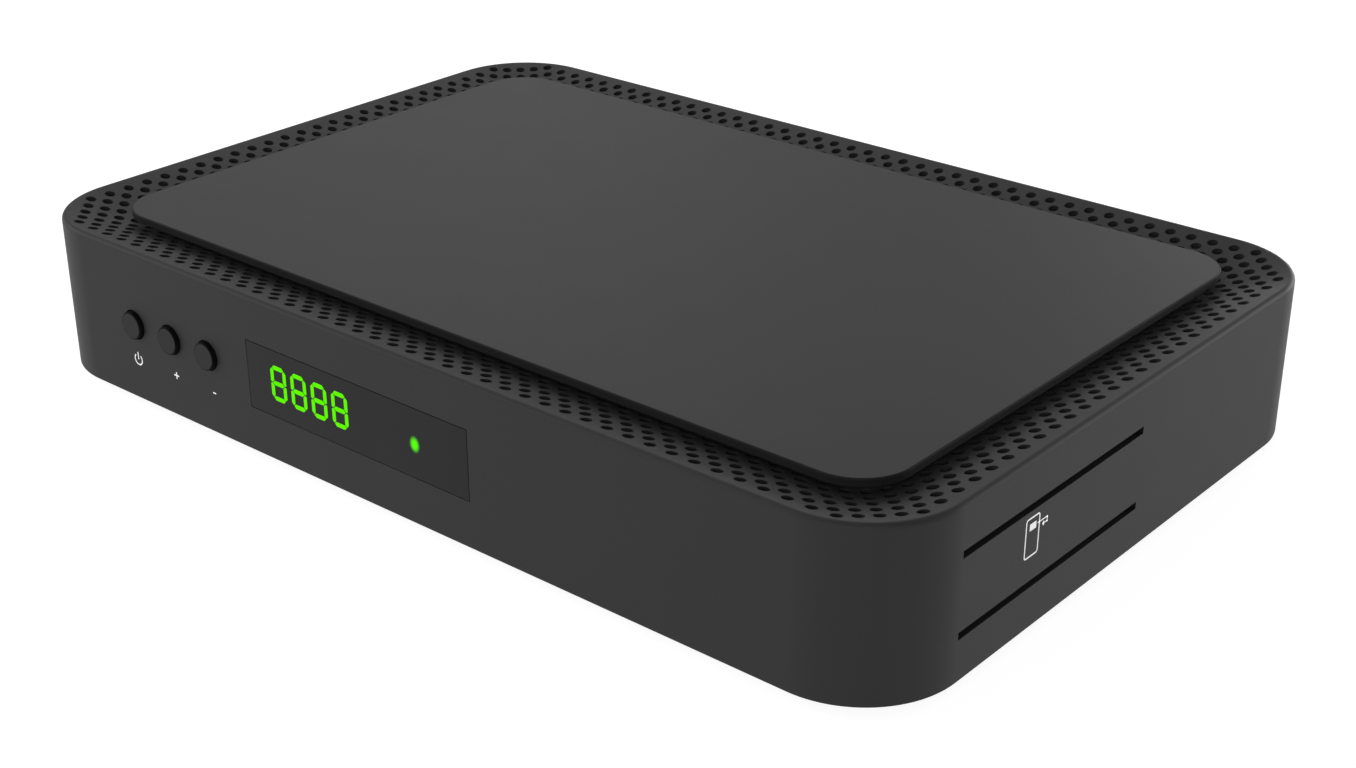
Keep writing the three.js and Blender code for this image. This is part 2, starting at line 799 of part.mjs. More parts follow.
// Card reader: a flat housing with a channel open to the card slot and a contact window on top
function cardReader(slotLevel) {
  const bottom = slotLevel - readerBelowSlot;
  const housing = box(readerRear, readerMouth, readerFront, readerBack, bottom, bottom + readerHeight);
  const channel = box(readerRear + readerStop, readerMouth + overrun, slotFront + seam,
    slotFront + slotLength - seam, slotLevel - readerChannelHeight / 2, slotLevel + readerChannelHeight / 2);
  const contactWindow = blockOn(readerMouth - readerWindowFromMouth, (readerFront + readerBack) / 2,
    readerWindowLength, readerWindowWidth, slotLevel, readerHeight);
  return cut(solid(housing), [channel, contactWindow]);
}

// Riser board, with its spacers and its connector down to the main board
const riserLeft = readerRear - riserLeftReach;
const riserRight = readerMouth - riserRightSetback;
const riserFront = readerFront - riserOverhang;
const riserBack = readerBack + riserOverhang;
const riserSpacerPlaces = [riserLeft + spacerInsetLeft, riserRight - spacerInsetRight].flatMap((x) => (
  [riserFront + riserOverhang / 2, riserBack - riserOverhang / 2].map((y) => [x, y])));

function riserBoard() {
  return solid(box(riserLeft, riserRight, riserFront, riserBack, riserBottom, riserTop));
}

function riserSpacer([x, y]) {
  return solid(post(x, y, spacerRadius, partsLevel, riserBottom - seat, spacerSides));
}

function riserConnector() {
  return solid(blockOn(readerRear - riserConnectorInset, (readerFront + readerBack) / 2,
    riserConnectorWidth, riserConnectorLength, partsLevel, riserBottom - seat - partsLevel));
}

// A flat outline in X and Z, extruded forward from a plane facing the rear
function extrudeFromRear(outline, length, rear) {
  const geometry = new THREE.ExtrudeGeometry(outline, { depth: length, bevelEnabled: false });
  return geometry.rotateX(Math.PI / 2).translate(0, rear, 0);
}

// Connector housing that ends at a plane facing the rear
function connectorBlock(x, width, height, depth, rear) {
  return box(x - width / 2, x + width / 2, rear - depth, rear, partsLevel, partsLevel + height);
}

function panelCutout(x, width, height, lift = 0) {
  const half = width / 2 + connectorGap;
  return box(x - half, x + half, connectorFace - overrun, rearFace + overrun,
    partsLevel + lift - connectorGap, partsLevel + lift + height + connectorGap);
}

function panelHole(x, z, radius, sides) {
  return bar(x, z, radius + connectorGap, connectorFace - overrun, rearFace + overrun, sides);
}

// Rear panel: a bent sheet whose foot lies on the base cover, cut out for the connectors
function rearPanel() {
  const half = rearNotchHalfWidth - seam;
  const plate = box(-half, half, connectorFace, rearFace, baseUnderside, notchTop - seam);
  const flange = box(-half, half, connectorFace - rearFlangeDepth, rearFace - rearPanelThickness / 2,
    baseTop + seat, baseTop + seat + rearPanelThickness);
  return cut(join([plate, flange]), [
    panelHole(lnbX, partsLevel + lnbHeight, lnbThreadRadius, jackSides),
    panelCutout(ethernetX, ethernetWidth, ethernetHeight),
    panelCutout(usbX, usbWidth, usbHeight),
    panelCutout(hdmiX, hdmiWidth, hdmiHeight),
    panelCutout(opticalX, opticalWidth, opticalHeight),
    panelHole(avX, partsLevel + avHeight / 2, avCollarRadius, jackSides),
    panelHole(dcX, partsLevel + dcAxisHeight, dcBore, jackSides),
  ]);
}

// Tuner can and the threaded LNB input that comes out of it
const tunerRear = connectorFace - connectorGap;

function tunerCan() {
  const left = lnbX - tunerWidth / 2;
  const top = partsLevel + tunerHeight;
  const can = box(left, left + tunerWidth, tunerRear - tunerDepth, tunerRear, partsLevel, top - tunerEdge);
  const lid = box(left + tunerEdge, left + tunerWidth - tunerEdge, tunerRear - tunerDepth + tunerEdge,
    tunerRear - tunerEdge, partsLevel, top);
  return join([can, lid]);
}

function lnbInput() {
  const start = tunerRear + seat;
  const end = rearFace + lnbLength;
  const nutEnd = rearFace + seat + lnbNutLength;
  const pitch = (end - nutEnd) / (lnbThreads + 1);
  const profile = [[0, start], [lnbThreadRadius, start], [lnbThreadRadius, nutEnd]];
  for (let thread = 1; thread <= lnbThreads; thread += 1) {
    const crest = nutEnd + thread * pitch;
    profile.push([lnbThreadRadius - lnbThreadGroove, crest - pitch / 2], [lnbThreadRadius, crest]);
  }
  profile.push([lnbThreadRadius - lnbThreadGroove, end], [lnbBore, end]);
  profile.push([lnbBore, end - lnbBoreDepth], [0, end - lnbBoreDepth]);
  const stub = turnedY(profile, lnbSides, lnbX, partsLevel + lnbHeight);
  const nut = bar(lnbX, partsLevel + lnbHeight, lnbNutRadius, rearFace + seat, nutEnd, lnbNutSides);
  return join([stub, nut]);
}

// Ethernet jack: a plug cavity with a latch slot under it
function ethernetJack() {
  const bottom = partsLevel + ethernetCavityLift;
  const cavity = box(ethernetX - ethernetCavityWidth / 2, ethernetX + ethernetCavityWidth / 2,
    rearFace - ethernetCavityDepth, rearFace + overrun, bottom, bottom + ethernetCavityHeight);
  const latch = box(ethernetX - ethernetLatchWidth / 2, ethernetX + ethernetLatchWidth / 2,
    rearFace - ethernetCavityDepth, rearFace + overrun, bottom - ethernetLatchHeight, bottom + seat);
  const block = connectorBlock(ethernetX, ethernetWidth, ethernetHeight, ethernetDepth, rearFace);
  return cut(solid(block), [cavity, latch]);
}

// USB socket: a thin shell round a contact tongue
function usbSocket() {
  const cavityFront = rearFace - usbDepth * socketDepthShare;
  const cavity = box(usbX - usbWidth / 2 + usbShell, usbX + usbWidth / 2 - usbShell, cavityFront,
    rearFace + overrun, partsLevel + usbShell, partsLevel + usbHeight - usbShell);
  const tongueBottom = partsLevel + usbTongueLift;
  const tongue = box(usbX - usbTongueWidth / 2, usbX + usbTongueWidth / 2, cavityFront - overrun,
    rearFace - usbTongueSetback, tongueBottom, tongueBottom + usbTongueHeight);
  const block = connectorBlock(usbX, usbWidth, usbHeight, usbDepth, rearFace);
  return cut(solid(block), [cavity]).add(solid(tongue));
}

// HDMI socket: a shell with bevelled lower corners round a contact tongue
function hdmiOutline(shell) {
  const half = hdmiWidth / 2 - shell;
  const bottom = partsLevel + shell;
  const top = partsLevel + hdmiHeight - shell;
  const outline = new THREE.Shape();
  outline.moveTo(hdmiX - half + hdmiBevel, bottom);
  outline.lineTo(hdmiX + half - hdmiBevel, bottom);
  outline.lineTo(hdmiX + half, bottom + hdmiBevel);
  outline.lineTo(hdmiX + half, top);
  outline.lineTo(hdmiX - half, top);
  outline.lineTo(hdmiX - half, bottom + hdmiBevel);
  return outline;
}

function hdmiSocket() {
  const cavityLength = hdmiDepth * socketDepthShare;
  const cavity = extrudeFromRear(hdmiOutline(hdmiShell), cavityLength + overrun, rearFace + overrun);
  const middle = partsLevel + hdmiHeight / 2;
  const tongue = box(hdmiX - hdmiTongueWidth / 2, hdmiX + hdmiTongueWidth / 2,
    rearFace - cavityLength - overrun, rearFace - hdmiTongueSetback,
    middle - hdmiTongueHeight / 2, middle + hdmiTongueHeight / 2);
  const shell = extrudeFromRear(hdmiOutline(0), hdmiDepth, rearFace);
  return cut(solid(shell), [cavity]).add(solid(tongue));
}

// Optical output: a square guide with a closed door
function opticalOutput() {
  const middle = partsLevel + opticalHeight / 2;
  const halfGuide = opticalGuideWidth / 2;
  const halfDoor = opticalDoor / 2;
  const guide = box(opticalX - halfGuide, opticalX + halfGuide, rearFace - opticalGuideDepth,
    rearFace + overrun, middle - halfGuide, middle + halfGuide);
  const door = box(opticalX - halfDoor, opticalX + halfDoor, rearFace - opticalGuideDepth - opticalDoorDepth,
    rearFace - opticalGuideDepth + opticalDoorDepth, middle - halfDoor, middle + halfDoor);
  const block = connectorBlock(opticalX, opticalWidth, opticalHeight, opticalDepth, rearFace);
  return cut(solid(block), [guide]).add(solid(door));
}

// AV jack: a block behind the panel with a round collar through it
function avJack() {
  const axis = partsLevel + avHeight / 2;
  const block = connectorBlock(avX, avWidth, avHeight, avDepth, tunerRear);
  const collar = bar(avX, axis, avCollarRadius, tunerRear - overrun, rearFace + seam, jackSides);
  const bore = bar(avX, axis, avBore, tunerRear - avDepth * socketDepthShare, rearFace + overrun, jackSides);
  return cut(join([block, collar]), [bore]);
}

// DC inlet: a block behind the panel with a bore round a centre pin
function dcInlet() {
  const axis = partsLevel + dcAxisHeight;
  const boreFront = tunerRear - dcDepth * socketDepthShare;
  const block = connectorBlock(dcX, dcWidth, dcHeight, dcDepth, tunerRear);
  const bore = bar(dcX, axis, dcBore, boreFront, tunerRear + overrun, jackSides);
  const pin = bar(dcX, axis, dcPin, boreFront - overrun, tunerRear - dcPinSetback, screwSides);
  return cut(solid(block), [bore]).add(solid(pin));
}

// Chips on the main board, and the finned heat sink on the system chip
function boardChip(x, y, width, depth, height) {
  return solid(blockOn(x, y, width, depth, partsLevel, height));
}

function memoryChip(offset) {
  const y = chipY - chipWidth / 2 - memoryGap - memoryLength / 2;
  return boardChip(chipX + offset, y, memoryWidth, memoryLength, memoryHeight);
}

function heatSink() {
  const half = sinkWidth / 2;
  const pitch = (sinkWidth - sinkFinThickness) / (sinkFinCount - 1);
  const outline = new THREE.Shape();
  outline.moveTo(-half, 0);
  outline.lineTo(half, 0);
  for (let fin = sinkFinCount - 1; fin >= 0; fin -= 1) {
    const left = -half + fin * pitch;
    const right = left + sinkFinThickness;
    if (fin < sinkFinCount - 1) {
      outline.lineTo(right, sinkBase);
    }
    outline.lineTo(right, sinkBase + sinkFinHeight);
    outline.lineTo(left, sinkBase + sinkFinHeight);
    if (fin > 0) {
      outline.lineTo(left, sinkBase);
    }
  }
  const level = partsLevel + chipHeight + seat;
  return solid(extrudeFromRear(outline, sinkWidth, sinkWidth / 2).translate(chipX, chipY, level));
}

// Electrolytic capacitor with a groove near its foot
function capacitor(number) {
  const y = capacitorRowY + number * capacitorPitch;
  const groove = capacitorRadius - capacitorGroove;
  return solid(turnedZ([
    [0, 0],
    [capacitorRadius, 0],
    [groove, capacitorGrooveRise],
    [capacitorRadius, capacitorGrooveRise * 2],
    [capacitorRadius, capacitorHeight],
    [0, capacitorHeight],
  ], capacitorSides).translate(capacitorRowX, y, partsLevel));
}

function powerInductor() {
  const radius = inductorWidth / 2;
  const drum = new THREE.CylinderGeometry(radius, radius, inductorHeight, inductorSides);
  drum.rotateY(Math.PI / inductorSides).rotateX(Math.PI / 2);
  return solid(drum.translate(dcX, mainBoardRear - inductorInset, partsLevel + inductorHeight / 2));
}

// Assembly
const memoryReach = memorySpacing / 2;
const [powerX, channelUpX, channelDownX] = buttonPlaces;
const pieces = [
  ['upper_case', upperCase(), casePlastic],
  ['vent_deck', ventDeck(), casePlastic],
  ['top_plate', topPlate(), platePlastic],
  ['base_cover', baseCover(), casePlastic],
  ['rear_panel', rearPanel(), steel],
  ['display_window', displayWindow(), smokedPlastic],
  ['power_button', pushButton(powerX), buttonPlastic],
  ['channel_up_button', pushButton(channelUpX), buttonPlastic],
  ['channel_down_button', pushButton(channelDownX), buttonPlastic],
  ['power_plunger', switchPlunger(powerX), blackPlastic],
  ['channel_up_plunger', switchPlunger(channelUpX), blackPlastic],
  ['channel_down_plunger', switchPlunger(channelDownX), blackPlastic],
  ['power_switch', tactSwitch(powerX), steel],
  ['channel_up_switch', tactSwitch(channelUpX), steel],
  ['channel_down_switch', tactSwitch(channelDownX), steel],
  ['front_board', frontBoard(), boardGreen],
  ['front_board_header', frontBoardHeader(), blackPlastic],
  ['digit_display', digitDisplay(), blackPlastic],
  ['status_led', statusLed(), ledGreen],
  ['infrared_receiver', infraredReceiver(), blackPlastic],
  ['main_board', mainBoard(), boardGreen],
  ['foot_front_left', foot(-1, -1), rubber],
  ['foot_front_right', foot(1, -1), rubber],
  ['foot_rear_left', foot(-1, 1), rubber],
  ['foot_rear_right', foot(1, 1), rubber],
  ['lower_card_reader', cardReader(lowerSlotLevel), steel],
  ['upper_card_reader', cardReader(upperSlotLevel), steel],
  ['riser_board', riserBoard(), boardGreen],
  ['riser_connector', riserConnector(), blackPlastic],
  ['tuner_can', tunerCan(), nickel],
  ['lnb_input', lnbInput(), nickel],
  ['ethernet_jack', ethernetJack(), blackPlastic],
  ['usb_socket', usbSocket(), nickel],
  ['hdmi_socket', hdmiSocket(), nickel],
  ['optical_output', opticalOutput(), blackPlastic],
  ['av_jack', avJack(), blackPlastic],
  ['dc_inlet', dcInlet(), blackPlastic],
  ['system_chip', boardChip(chipX, chipY, chipWidth, chipWidth, chipHeight), chipBlack],
  ['heat_sink', heatSink(), aluminium],
  ['memory_chip_left', memoryChip(-memoryReach), chipBlack],
  ['memory_chip_right', memoryChip(memoryReach), chipBlack],
  ['flash_chip', boardChip(flashX, flashY, flashWidth, flashLength, memoryHeight), chipBlack],
  ['capacitor_front', capacitor(0), capacitorSleeve],
  ['capacitor_middle', capacitor(1), capacitorSleeve],
  ['capacitor_rear', capacitor(2), capacitorSleeve],
  ['power_inductor', powerInductor(), chipBlack],
  ...frontBossPlaces.map((x, i) => [`front_board_screw_${i + 1}`, frontBoardScrew(x), steel]),
  ...boardScrewPlaces.map((place, i) => [`board_screw_${i + 1}`, boardScrew(place), steel]),
  ...caseBossPlaces.map((place, i) => [`case_screw_${i + 1}`, caseScrew(place), steel]),
  ...riserSpacerPlaces.map((place, i) => [`riser_spacer_${i + 1}`, riserSpacer(place), nickel]),
];

const receiver = new THREE.Group();
receiver.name = 'satellite_tv_receiver';
for (const [name, shape, look] of pieces) {
  const mesh = new THREE.Mesh(toGeometry(shape), look);
  mesh.name = name;
  receiver.add(mesh);
}

// The buttons stand out of the front and the LNB input out of the rear: centre the whole length
receiver.position.y = (buttonProud - lnbLength) / 2;

export default receiver;
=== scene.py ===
"""The finished look of the satellite TV receiver, fitted to its solid model.

Shapes are written in millimetres: x and y from the middle of the case, z from the floor.
The front of the case faces -y, and the card slots are in the right wall, towards +x.
"""

import json
import math

import bpy
from mathutils import Matrix, Vector
from mathutils.geometry import delaunay_2d_cdt


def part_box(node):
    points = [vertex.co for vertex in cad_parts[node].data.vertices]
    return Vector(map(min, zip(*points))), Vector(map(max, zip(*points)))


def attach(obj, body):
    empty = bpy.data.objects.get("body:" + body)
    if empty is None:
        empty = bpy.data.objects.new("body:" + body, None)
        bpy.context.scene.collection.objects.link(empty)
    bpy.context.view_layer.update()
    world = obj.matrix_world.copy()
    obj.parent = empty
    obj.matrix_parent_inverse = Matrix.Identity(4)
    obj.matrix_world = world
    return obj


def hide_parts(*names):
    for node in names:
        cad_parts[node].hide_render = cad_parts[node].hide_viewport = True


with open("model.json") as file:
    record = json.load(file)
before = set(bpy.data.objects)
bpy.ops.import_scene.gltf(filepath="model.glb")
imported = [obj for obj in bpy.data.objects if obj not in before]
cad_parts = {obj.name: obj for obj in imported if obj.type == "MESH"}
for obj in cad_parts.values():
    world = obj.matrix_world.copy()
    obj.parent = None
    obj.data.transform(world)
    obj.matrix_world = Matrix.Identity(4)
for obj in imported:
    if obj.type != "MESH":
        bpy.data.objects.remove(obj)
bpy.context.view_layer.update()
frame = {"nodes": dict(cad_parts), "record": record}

# Units and the place of the case in the frame
MM = 0.001
case_low, case_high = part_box("upper_case")
CASE_MIDDLE_Y = (case_low.y + case_high.y) / 2
JOIN_DIGITS = 4
JOIN_DISTANCE = 1e-5
QUARTER_TURN = math.pi / 2

# Case
CASE_WIDTH = 220.8
CASE_DEPTH = 148.5
CASE_BOTTOM = 2
CASE_TOP = 35.4
CORNER_RADIUS = 19.4
CORNER_STEPS = 24
WALL = 2.4
RIM_FILLET = 1
RIM_LIP = 1.3
BOTTOM_FILLET = 0.4
EDGE_STEPS = 5
DECK_SLOPE = 0.24
DECK_SLOPE_RUN = 17.35
DECK_THICKNESS = 1.8
LEDGE_GAP = 0.4
NOTCH_HALF_WIDTH = 86.4
NOTCH_TOP = 28.9

# Vents: round holes on a staggered grid, in rings between the rim and the plate
VENT_PITCH_X = 4.72
VENT_PITCH_Y = 4.84
VENT_RADIUS = 1.1
VENT_SIDES = 16
VENT_LAST_COLUMN = 45
VENT_LAST_ROW = 29
VENT_CORNER_SUM = 70
VENT_RINGS = 6
CREASE_CLEARANCE = 0.3

# Top plate
PLATE_WIDTH = 195
PLATE_DEPTH = 123
PLATE_RADIUS = 10.3
PLATE_BOTTOM = 33.8
PLATE_TOP = 35.5
PLATE_EDGE = 0.28
PLATE_COLLAR_RADIUS = 4
PLATE_COLLAR_BOTTOM = 31.34
PLATE_PEG_RADIUS = 2.4
PLATE_PEG_BOTTOM = 28.84
PLATE_PEG_SHARES = [(-0.36, -0.31), (0.36, -0.31), (-0.36, 0.31), (0.36, 0.31)]

# Front wall
PANEL_AXIS = 18.85
BUTTON_PLACES = {"power_button": -75.6, "channel_up_button": -64.05, "channel_down_button": -52.5}
BUTTON_BODIES = {
    "power_button": "power_key",
    "channel_up_button": "channel_up_key",
    "channel_down_button": "channel_down_key",
}
BUTTON_RADIUS = 2.95
BUTTON_PROUD = 0.96
BUTTON_EDGE = 0.3
BUTTON_SIDES = 64
BUTTON_FLANGE_RADIUS = 4.3
BUTTON_FLANGE_FRONT = -2.7
BUTTON_FLANGE_BACK = -3.7
BUTTON_STEM_RADIUS = 1.5
BUTTON_STEM_END = -5.2
SEAM = 0.25
WINDOW_LEFT = -39.8
WINDOW_RIGHT = 19.9
WINDOW_HEIGHT = 14.1
WINDOW_RECESS = 1.6
WINDOW_LEDGE = 1.3
WINDOW_SEAM = 0.16

# Card slots
SLOT_FRONT = -55.1
SLOT_LENGTH = 57.1
SLOT_HEIGHT = 1.42
SLOT_LEVELS = [10.97, 25.94]

# Digits: seven mitred segments in each cell
DIGIT_LEFT = -33.1
DIGIT_PITCH = 5.76
DIGIT_COUNT = 4
DIGIT_WIDTH = 4.4
DIGIT_HEIGHT = 7.4
DIGIT_BOTTOM = 15.46
DIGIT_STROKE = 0.92
DIGIT_GAP = 0.13
DIGIT_CHAMFER = 1.1
DIGIT_SHORTENED = 0.24

# Light of the status LED
GLOW_X = 6.4
GLOW_LEVEL = 18.65
GLOW_RADIUS = 1.55
GLOW_STRETCH = 1.3
GLOW_CORE_SHARE = 0.2
GLOW_SIDES = 48
GLOW_COLOUR = (0.1, 1, 0.002)
GLOW_STRENGTH = 1

# Printed marks
INK_HEIGHT = 0.01
LINE_WIDTH = 0.29
ARROW_WIDTH = 0.22
POWER_MARK = (-75.6, 11.15)
POWER_MARK_RADIUS = 1.16
POWER_MARK_GAP = 0.7
POWER_MARK_STEPS = 40
POWER_BAR_TOP = 1.47
POWER_BAR_BOTTOM = 0.15
PLUS_MARK = (-63.2, 11.24)
MINUS_MARK = (-51.3, 11)
SIGN_REACH = 0.62
MINUS_REACH = 0.32
CARD_MARK = (-35.95, -31.9, 16.56, 23.91)
CARD_MARK_CORNER = 0.5
CHIP_MARK = (-34.85, -32.85, 21.5, 22.8)
ARROW_MARK = [(-32.3, 22.16), (-29.4, 22.16), (-29.4, 21.31), (-30.4, 21.31)]
ARROW_HEAD = 0.55

# Feet
FOOT_INSET = 22
FOOT_RADIUS = 6.5
FOOT_TOP = 2.3
FOOT_EDGE = 0.8
ROUND_SIDES = 48

# Rear panel and its connectors: depths are out of the rear wall
REAR_PANEL_BOTTOM = 2.4
REAR_PANEL_THICKNESS = 1.2
REAR_FLANGE = (4.5, 5.7)
REAR_FLANGE_DEPTH = 9.2
SOCKET_GAP = 0.3
SOCKET_FACE = -1.5
SQUARE_SOCKETS = ["ethernet_jack", "usb_socket", "hdmi_socket", "optical_output"]
LNB_START = -1.4
LNB_END = 9.5
LNB_THREAD_RADIUS = 4.7
LNB_THREAD_DEPTH = 0.3
LNB_THREADS = 8
LNB_NUT_RADIUS = 6.2
LNB_NUT_SIDES = 6
LNB_NUT = (0.1, 2.5)
LNB_BORE = 2.2
LNB_INSULATOR_FACE = 6.5
LNB_CONTACT_RADIUS = 0.55
LNB_CONTACT_DEPTH = 3
AV_BACK = -13.5
AV_COLLAR_RADIUS = 3
AV_COLLAR_END = 0.25
AV_BORE = 1.8
AV_BORE_END = -10.5
DC_BACK = -14.7
DC_AXIS_RISE = 6.4
DC_BORE = 3
DC_BORE_END = -11.4
DC_PIN_RADIUS = 0.95
DC_PIN_TIP = 0.3
DC_PIN_END = -2.5
PLUG_CONTACTS = 8
PLUG_CONTACT_PITCH = 1.02
PLUG_CONTACT_WIDTH = 0.45
PLUG_CONTACT_HEIGHT = 0.3
PLUG_CONTACT_RISE = 9.6
PLUG_CONTACT_REACH = (-12.9, -2.5)

# Screws of the base cover: depths are out of the head
SCREW_HEAD_RADIUS = 2.8
SCREW_HEAD_HEIGHT = 1
SCREW_HEAD_EDGE = 0.4
SCREW_RADIUS = 1.4
SCREW_LENGTH = 7.1
CROSS_REACH = 1.5
CROSS_HALF_WIDTH = 0.28
CROSS_DEPTH = 0.6
CASE_SCREWS = 4

# Places of the walls: across, up, and out of the wall
FRONT_WALL = Matrix(((1, 0, 0, 0), (0, 0, -1, -CASE_DEPTH / 2), (0, 1, 0, 0), (0, 0, 0, 1)))
REAR_WALL = Matrix(((-1, 0, 0, 0), (0, 0, 1, CASE_DEPTH / 2), (0, 1, 0, 0), (0, 0, 0, 1)))
RIGHT_WALL = Matrix(((0, 0, 1, CASE_WIDTH / 2), (1, 0, 0, 0), (0, 1, 0, 0), (0, 0, 0, 1)))

# Camera: place, lens and sensor in millimetres, angles in degrees, nearest distance in metres
CAMERA_PLACE = (261.787, -306.909, 192.423)
CAMERA_AZIMUTH = 40.244
CAMERA_ELEVATION = 25.489
CAMERA_ROLL = -0.071
CAMERA_LENS = 56.243
CAMERA_SENSOR = 36
CAMERA_NEAREST = 0.01

# Lamps: azimuth and elevation in degrees, distance, width and height in metres, power in watts.
# The world's strength, and the floor's reach in metres, its own colour and its white as it is seen.
LAMPS = {
    "back_lamp": (180, 5.4, 0.9, 0.7, 0.17, 3.4),
    "back_right_lamp": (150, 8, 0.9, 0.7, 0.25, 2.7),
    "high_back_lamp": (-150, 35, 0.9, 0.7, 0.7, 0.65),
    "high_left_lamp": (-120, 35, 0.9, 0.7, 0.7, 1.2),
    "front_left_lamp": (-60, 22, 0.9, 0.7, 0.25, 2.9),
    "front_right_lamp": (30, 22, 0.9, 0.7, 0.25, 1.9),
}
WORLD_LIGHT = 0.25
FLOOR_REACH = 30
FLOOR_COLOUR = (0.35, 0.35, 0.35, 1)
FLOOR_WHITE = 0.88

# Materials: what noise keeps within, and how a lit colour thins, with its grain in millimetres
NOISE_SHARES = (0.3, 0.7)
THIN_SHARE = 0.9
THIN_GRAIN = 1.5

# Numbers of the surfaces in the lists of materials. The first, 0, is the main one.
# Walls of the slots and button holes, darkened as painted shade.
PAINTED_SHADE_SLOT_SURFACE = 1
# Walls of the vents, darkened as painted shade.
PAINTED_SHADE_VENT_SURFACE = 2
# Painted shade: the sides of the plate and of the buttons take a darker material.
PAINTED_SHADE_SIDE_SURFACE = 1
INSULATOR_SURFACE = 1
CONTACT_SURFACE = 2
PIN_SURFACE = 1


class Shape:
    """Faces with a normal at every corner. Points that meet are joined."""

    def __init__(self):
        self.place = Matrix.Identity(4)
        self.numbers = {}
        self.points = []
        self.faces = []
        self.normals = []
        self.surfaces = []

    def number(self, point):
        moved = self.place @ Vector(point)
        key = tuple(round(value, JOIN_DIGITS) for value in moved)
        if key not in self.numbers:
            self.numbers[key] = len(self.points)
            self.points.append(key)
        return self.numbers[key]

    def face(self, corners, normals=None, surface=0):
        """Adds a face whose corners run anticlockwise seen from outside."""
        if normals is None:
            normals = [flat_normal(corners)] * len(corners)
        turn = self.place.to_3x3()
        kept = {}
        for corner, normal in zip(corners, normals):
            kept.setdefault(self.number(corner), turn @ Vector(normal))
        if len(kept) > 2:
            self.faces.append(list(kept))
            self.normals.extend(kept.values())
            self.surfaces.append(surface)

    def mesh(self, name):
        mesh = bpy.data.meshes.new(name)
        places = [(x * MM, y * MM + CASE_MIDDLE_Y, z * MM) for x, y, z in self.points]
        mesh.from_pydata(places, [], self.faces)
        mesh.polygons.foreach_set("use_smooth", [True] * len(self.faces))
        mesh.polygons.foreach_set("material_index", self.surfaces)
        mesh.normals_split_custom_set(self.normals)
        mesh.update()
        return mesh


def flat_normal(corners):
    total = Vector((0, 0, 0))
    start = Vector(corners[0])
    for one, other in zip(corners[1:], corners[2:]):
        total += (Vector(one) - start).cross(Vector(other) - start)
    return total.normalized()


def add_piece(shape, name, body, materials, stands_for=()):
    piece = bpy.data.objects.new(name, shape.mesh(name))
    bpy.context.scene.collection.objects.link(piece)
    for material in materials:
        piece.data.materials.append(material)
    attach(piece, body)
    if stands_for:
        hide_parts(*stands_for)
    return piece


# Outlines and profiles

def arc(middle_x, middle_y, radius, start, end, steps):
    """Points of an arc with their outward directions."""
    stations = []
    for step in range(steps + 1):
        angle = start + (end - start) * step / steps
        out_x = math.cos(angle)
        out_y = math.sin(angle)
        stations.append((middle_x + radius * out_x, middle_y + radius * out_y, out_x, out_y))
    return stations


def circle(radius, sides, middle_x=0, middle_y=0):
    return arc(middle_x, middle_y, radius, 0, 2 * math.pi, sides)[:-1]


def rounded_rectangle(width, depth, radius, rear_stops=()):
    """Stations round a rounded rectangle, with the name of the side that follows each one."""
    reach_x = width / 2 - radius
    reach_y = depth / 2 - radius
    stations = []
    sides = []
    corners = [(1, 1, "rear"), (-1, 1, "left"), (-1, -1, "front"), (1, -1, "right")]
    for quarter, (sign_x, sign_y, side) in enumerate(corners):
        start = quarter * QUARTER_TURN
        end = start + QUARTER_TURN
        stations += arc(sign_x * reach_x, sign_y * reach_y, radius, start, end, CORNER_STEPS)
        sides += ["corner"] * CORNER_STEPS + [side]
        if side == "rear":
            stations += [(stop, depth / 2, 0, 1) for stop in rear_stops]
            sides += ["notch", "rear"] if rear_stops else []
    return stations, sides


def straight(inset_a, level_a, inset_b, level_b):
    """A straight run of a profile, whose outer side is on its right."""
    tilt = math.atan2(inset_b - inset_a, level_b - level_a)
    return [(inset_a, level_a, tilt), (inset_b, level_b, tilt)]


def rounded(inset, level, radius, start, end):
    """A rounded run of a profile about a centre."""
    run = []
    for step in range(EDGE_STEPS + 1):
        tilt = start + (end - start) * step / EDGE_STEPS
        run.append((inset - radius * math.cos(tilt), level + radius * math.sin(tilt), tilt))
    return run


def ring(stations, inset, level):
    return [(x - inset * out_x, y - inset * out_y, level) for x, y, out_x, out_y in stations]


def tilted(stations, tilt):
    level = math.cos(tilt)
    return [(out_x * level, out_y * level, math.sin(tilt)) for _, _, out_x, out_y in stations]


def sweep(shape, stations, run, surface=0, skipped=()):
    """Carries one run of a profile round the stations, except over the skipped steps."""
    count = len(stations)
    for (inset_a, level_a, tilt_a), (inset_b, level_b, tilt_b) in zip(run, run[1:]):
        low, high = ring(stations, inset_a, level_a), ring(stations, inset_b, level_b)
        low_normals, high_normals = tilted(stations, tilt_a), tilted(stations, tilt_b)
        for here in range(count):
            if here in skipped:
                continue
            there = (here + 1) % count
            shape.face(
                [low[here], low[there], high[there], high[here]],
                [low_normals[here], low_normals[there], high_normals[there], high_normals[here]],
                surface,
            )


def through(points, surface=0):
    """Straight runs of a turned solid through points that hold a radius and a level."""
    runs = []
    for (radius_a, level_a), (radius_b, level_b) in zip(points, points[1:]):
        runs.append((straight(-radius_a, level_a, -radius_b, level_b), surface))
    return runs


def turned(shape, middle_x, middle_y, runs, sides=ROUND_SIDES):
    """A turned solid. Its runs hold radii with a minus sign in place of insets, from the bottom up."""
    stations = arc(middle_x, middle_y, 0, 0, 2 * math.pi, sides)[:-1]
    for run, surface in runs:
        sweep(shape, stations, run, surface)


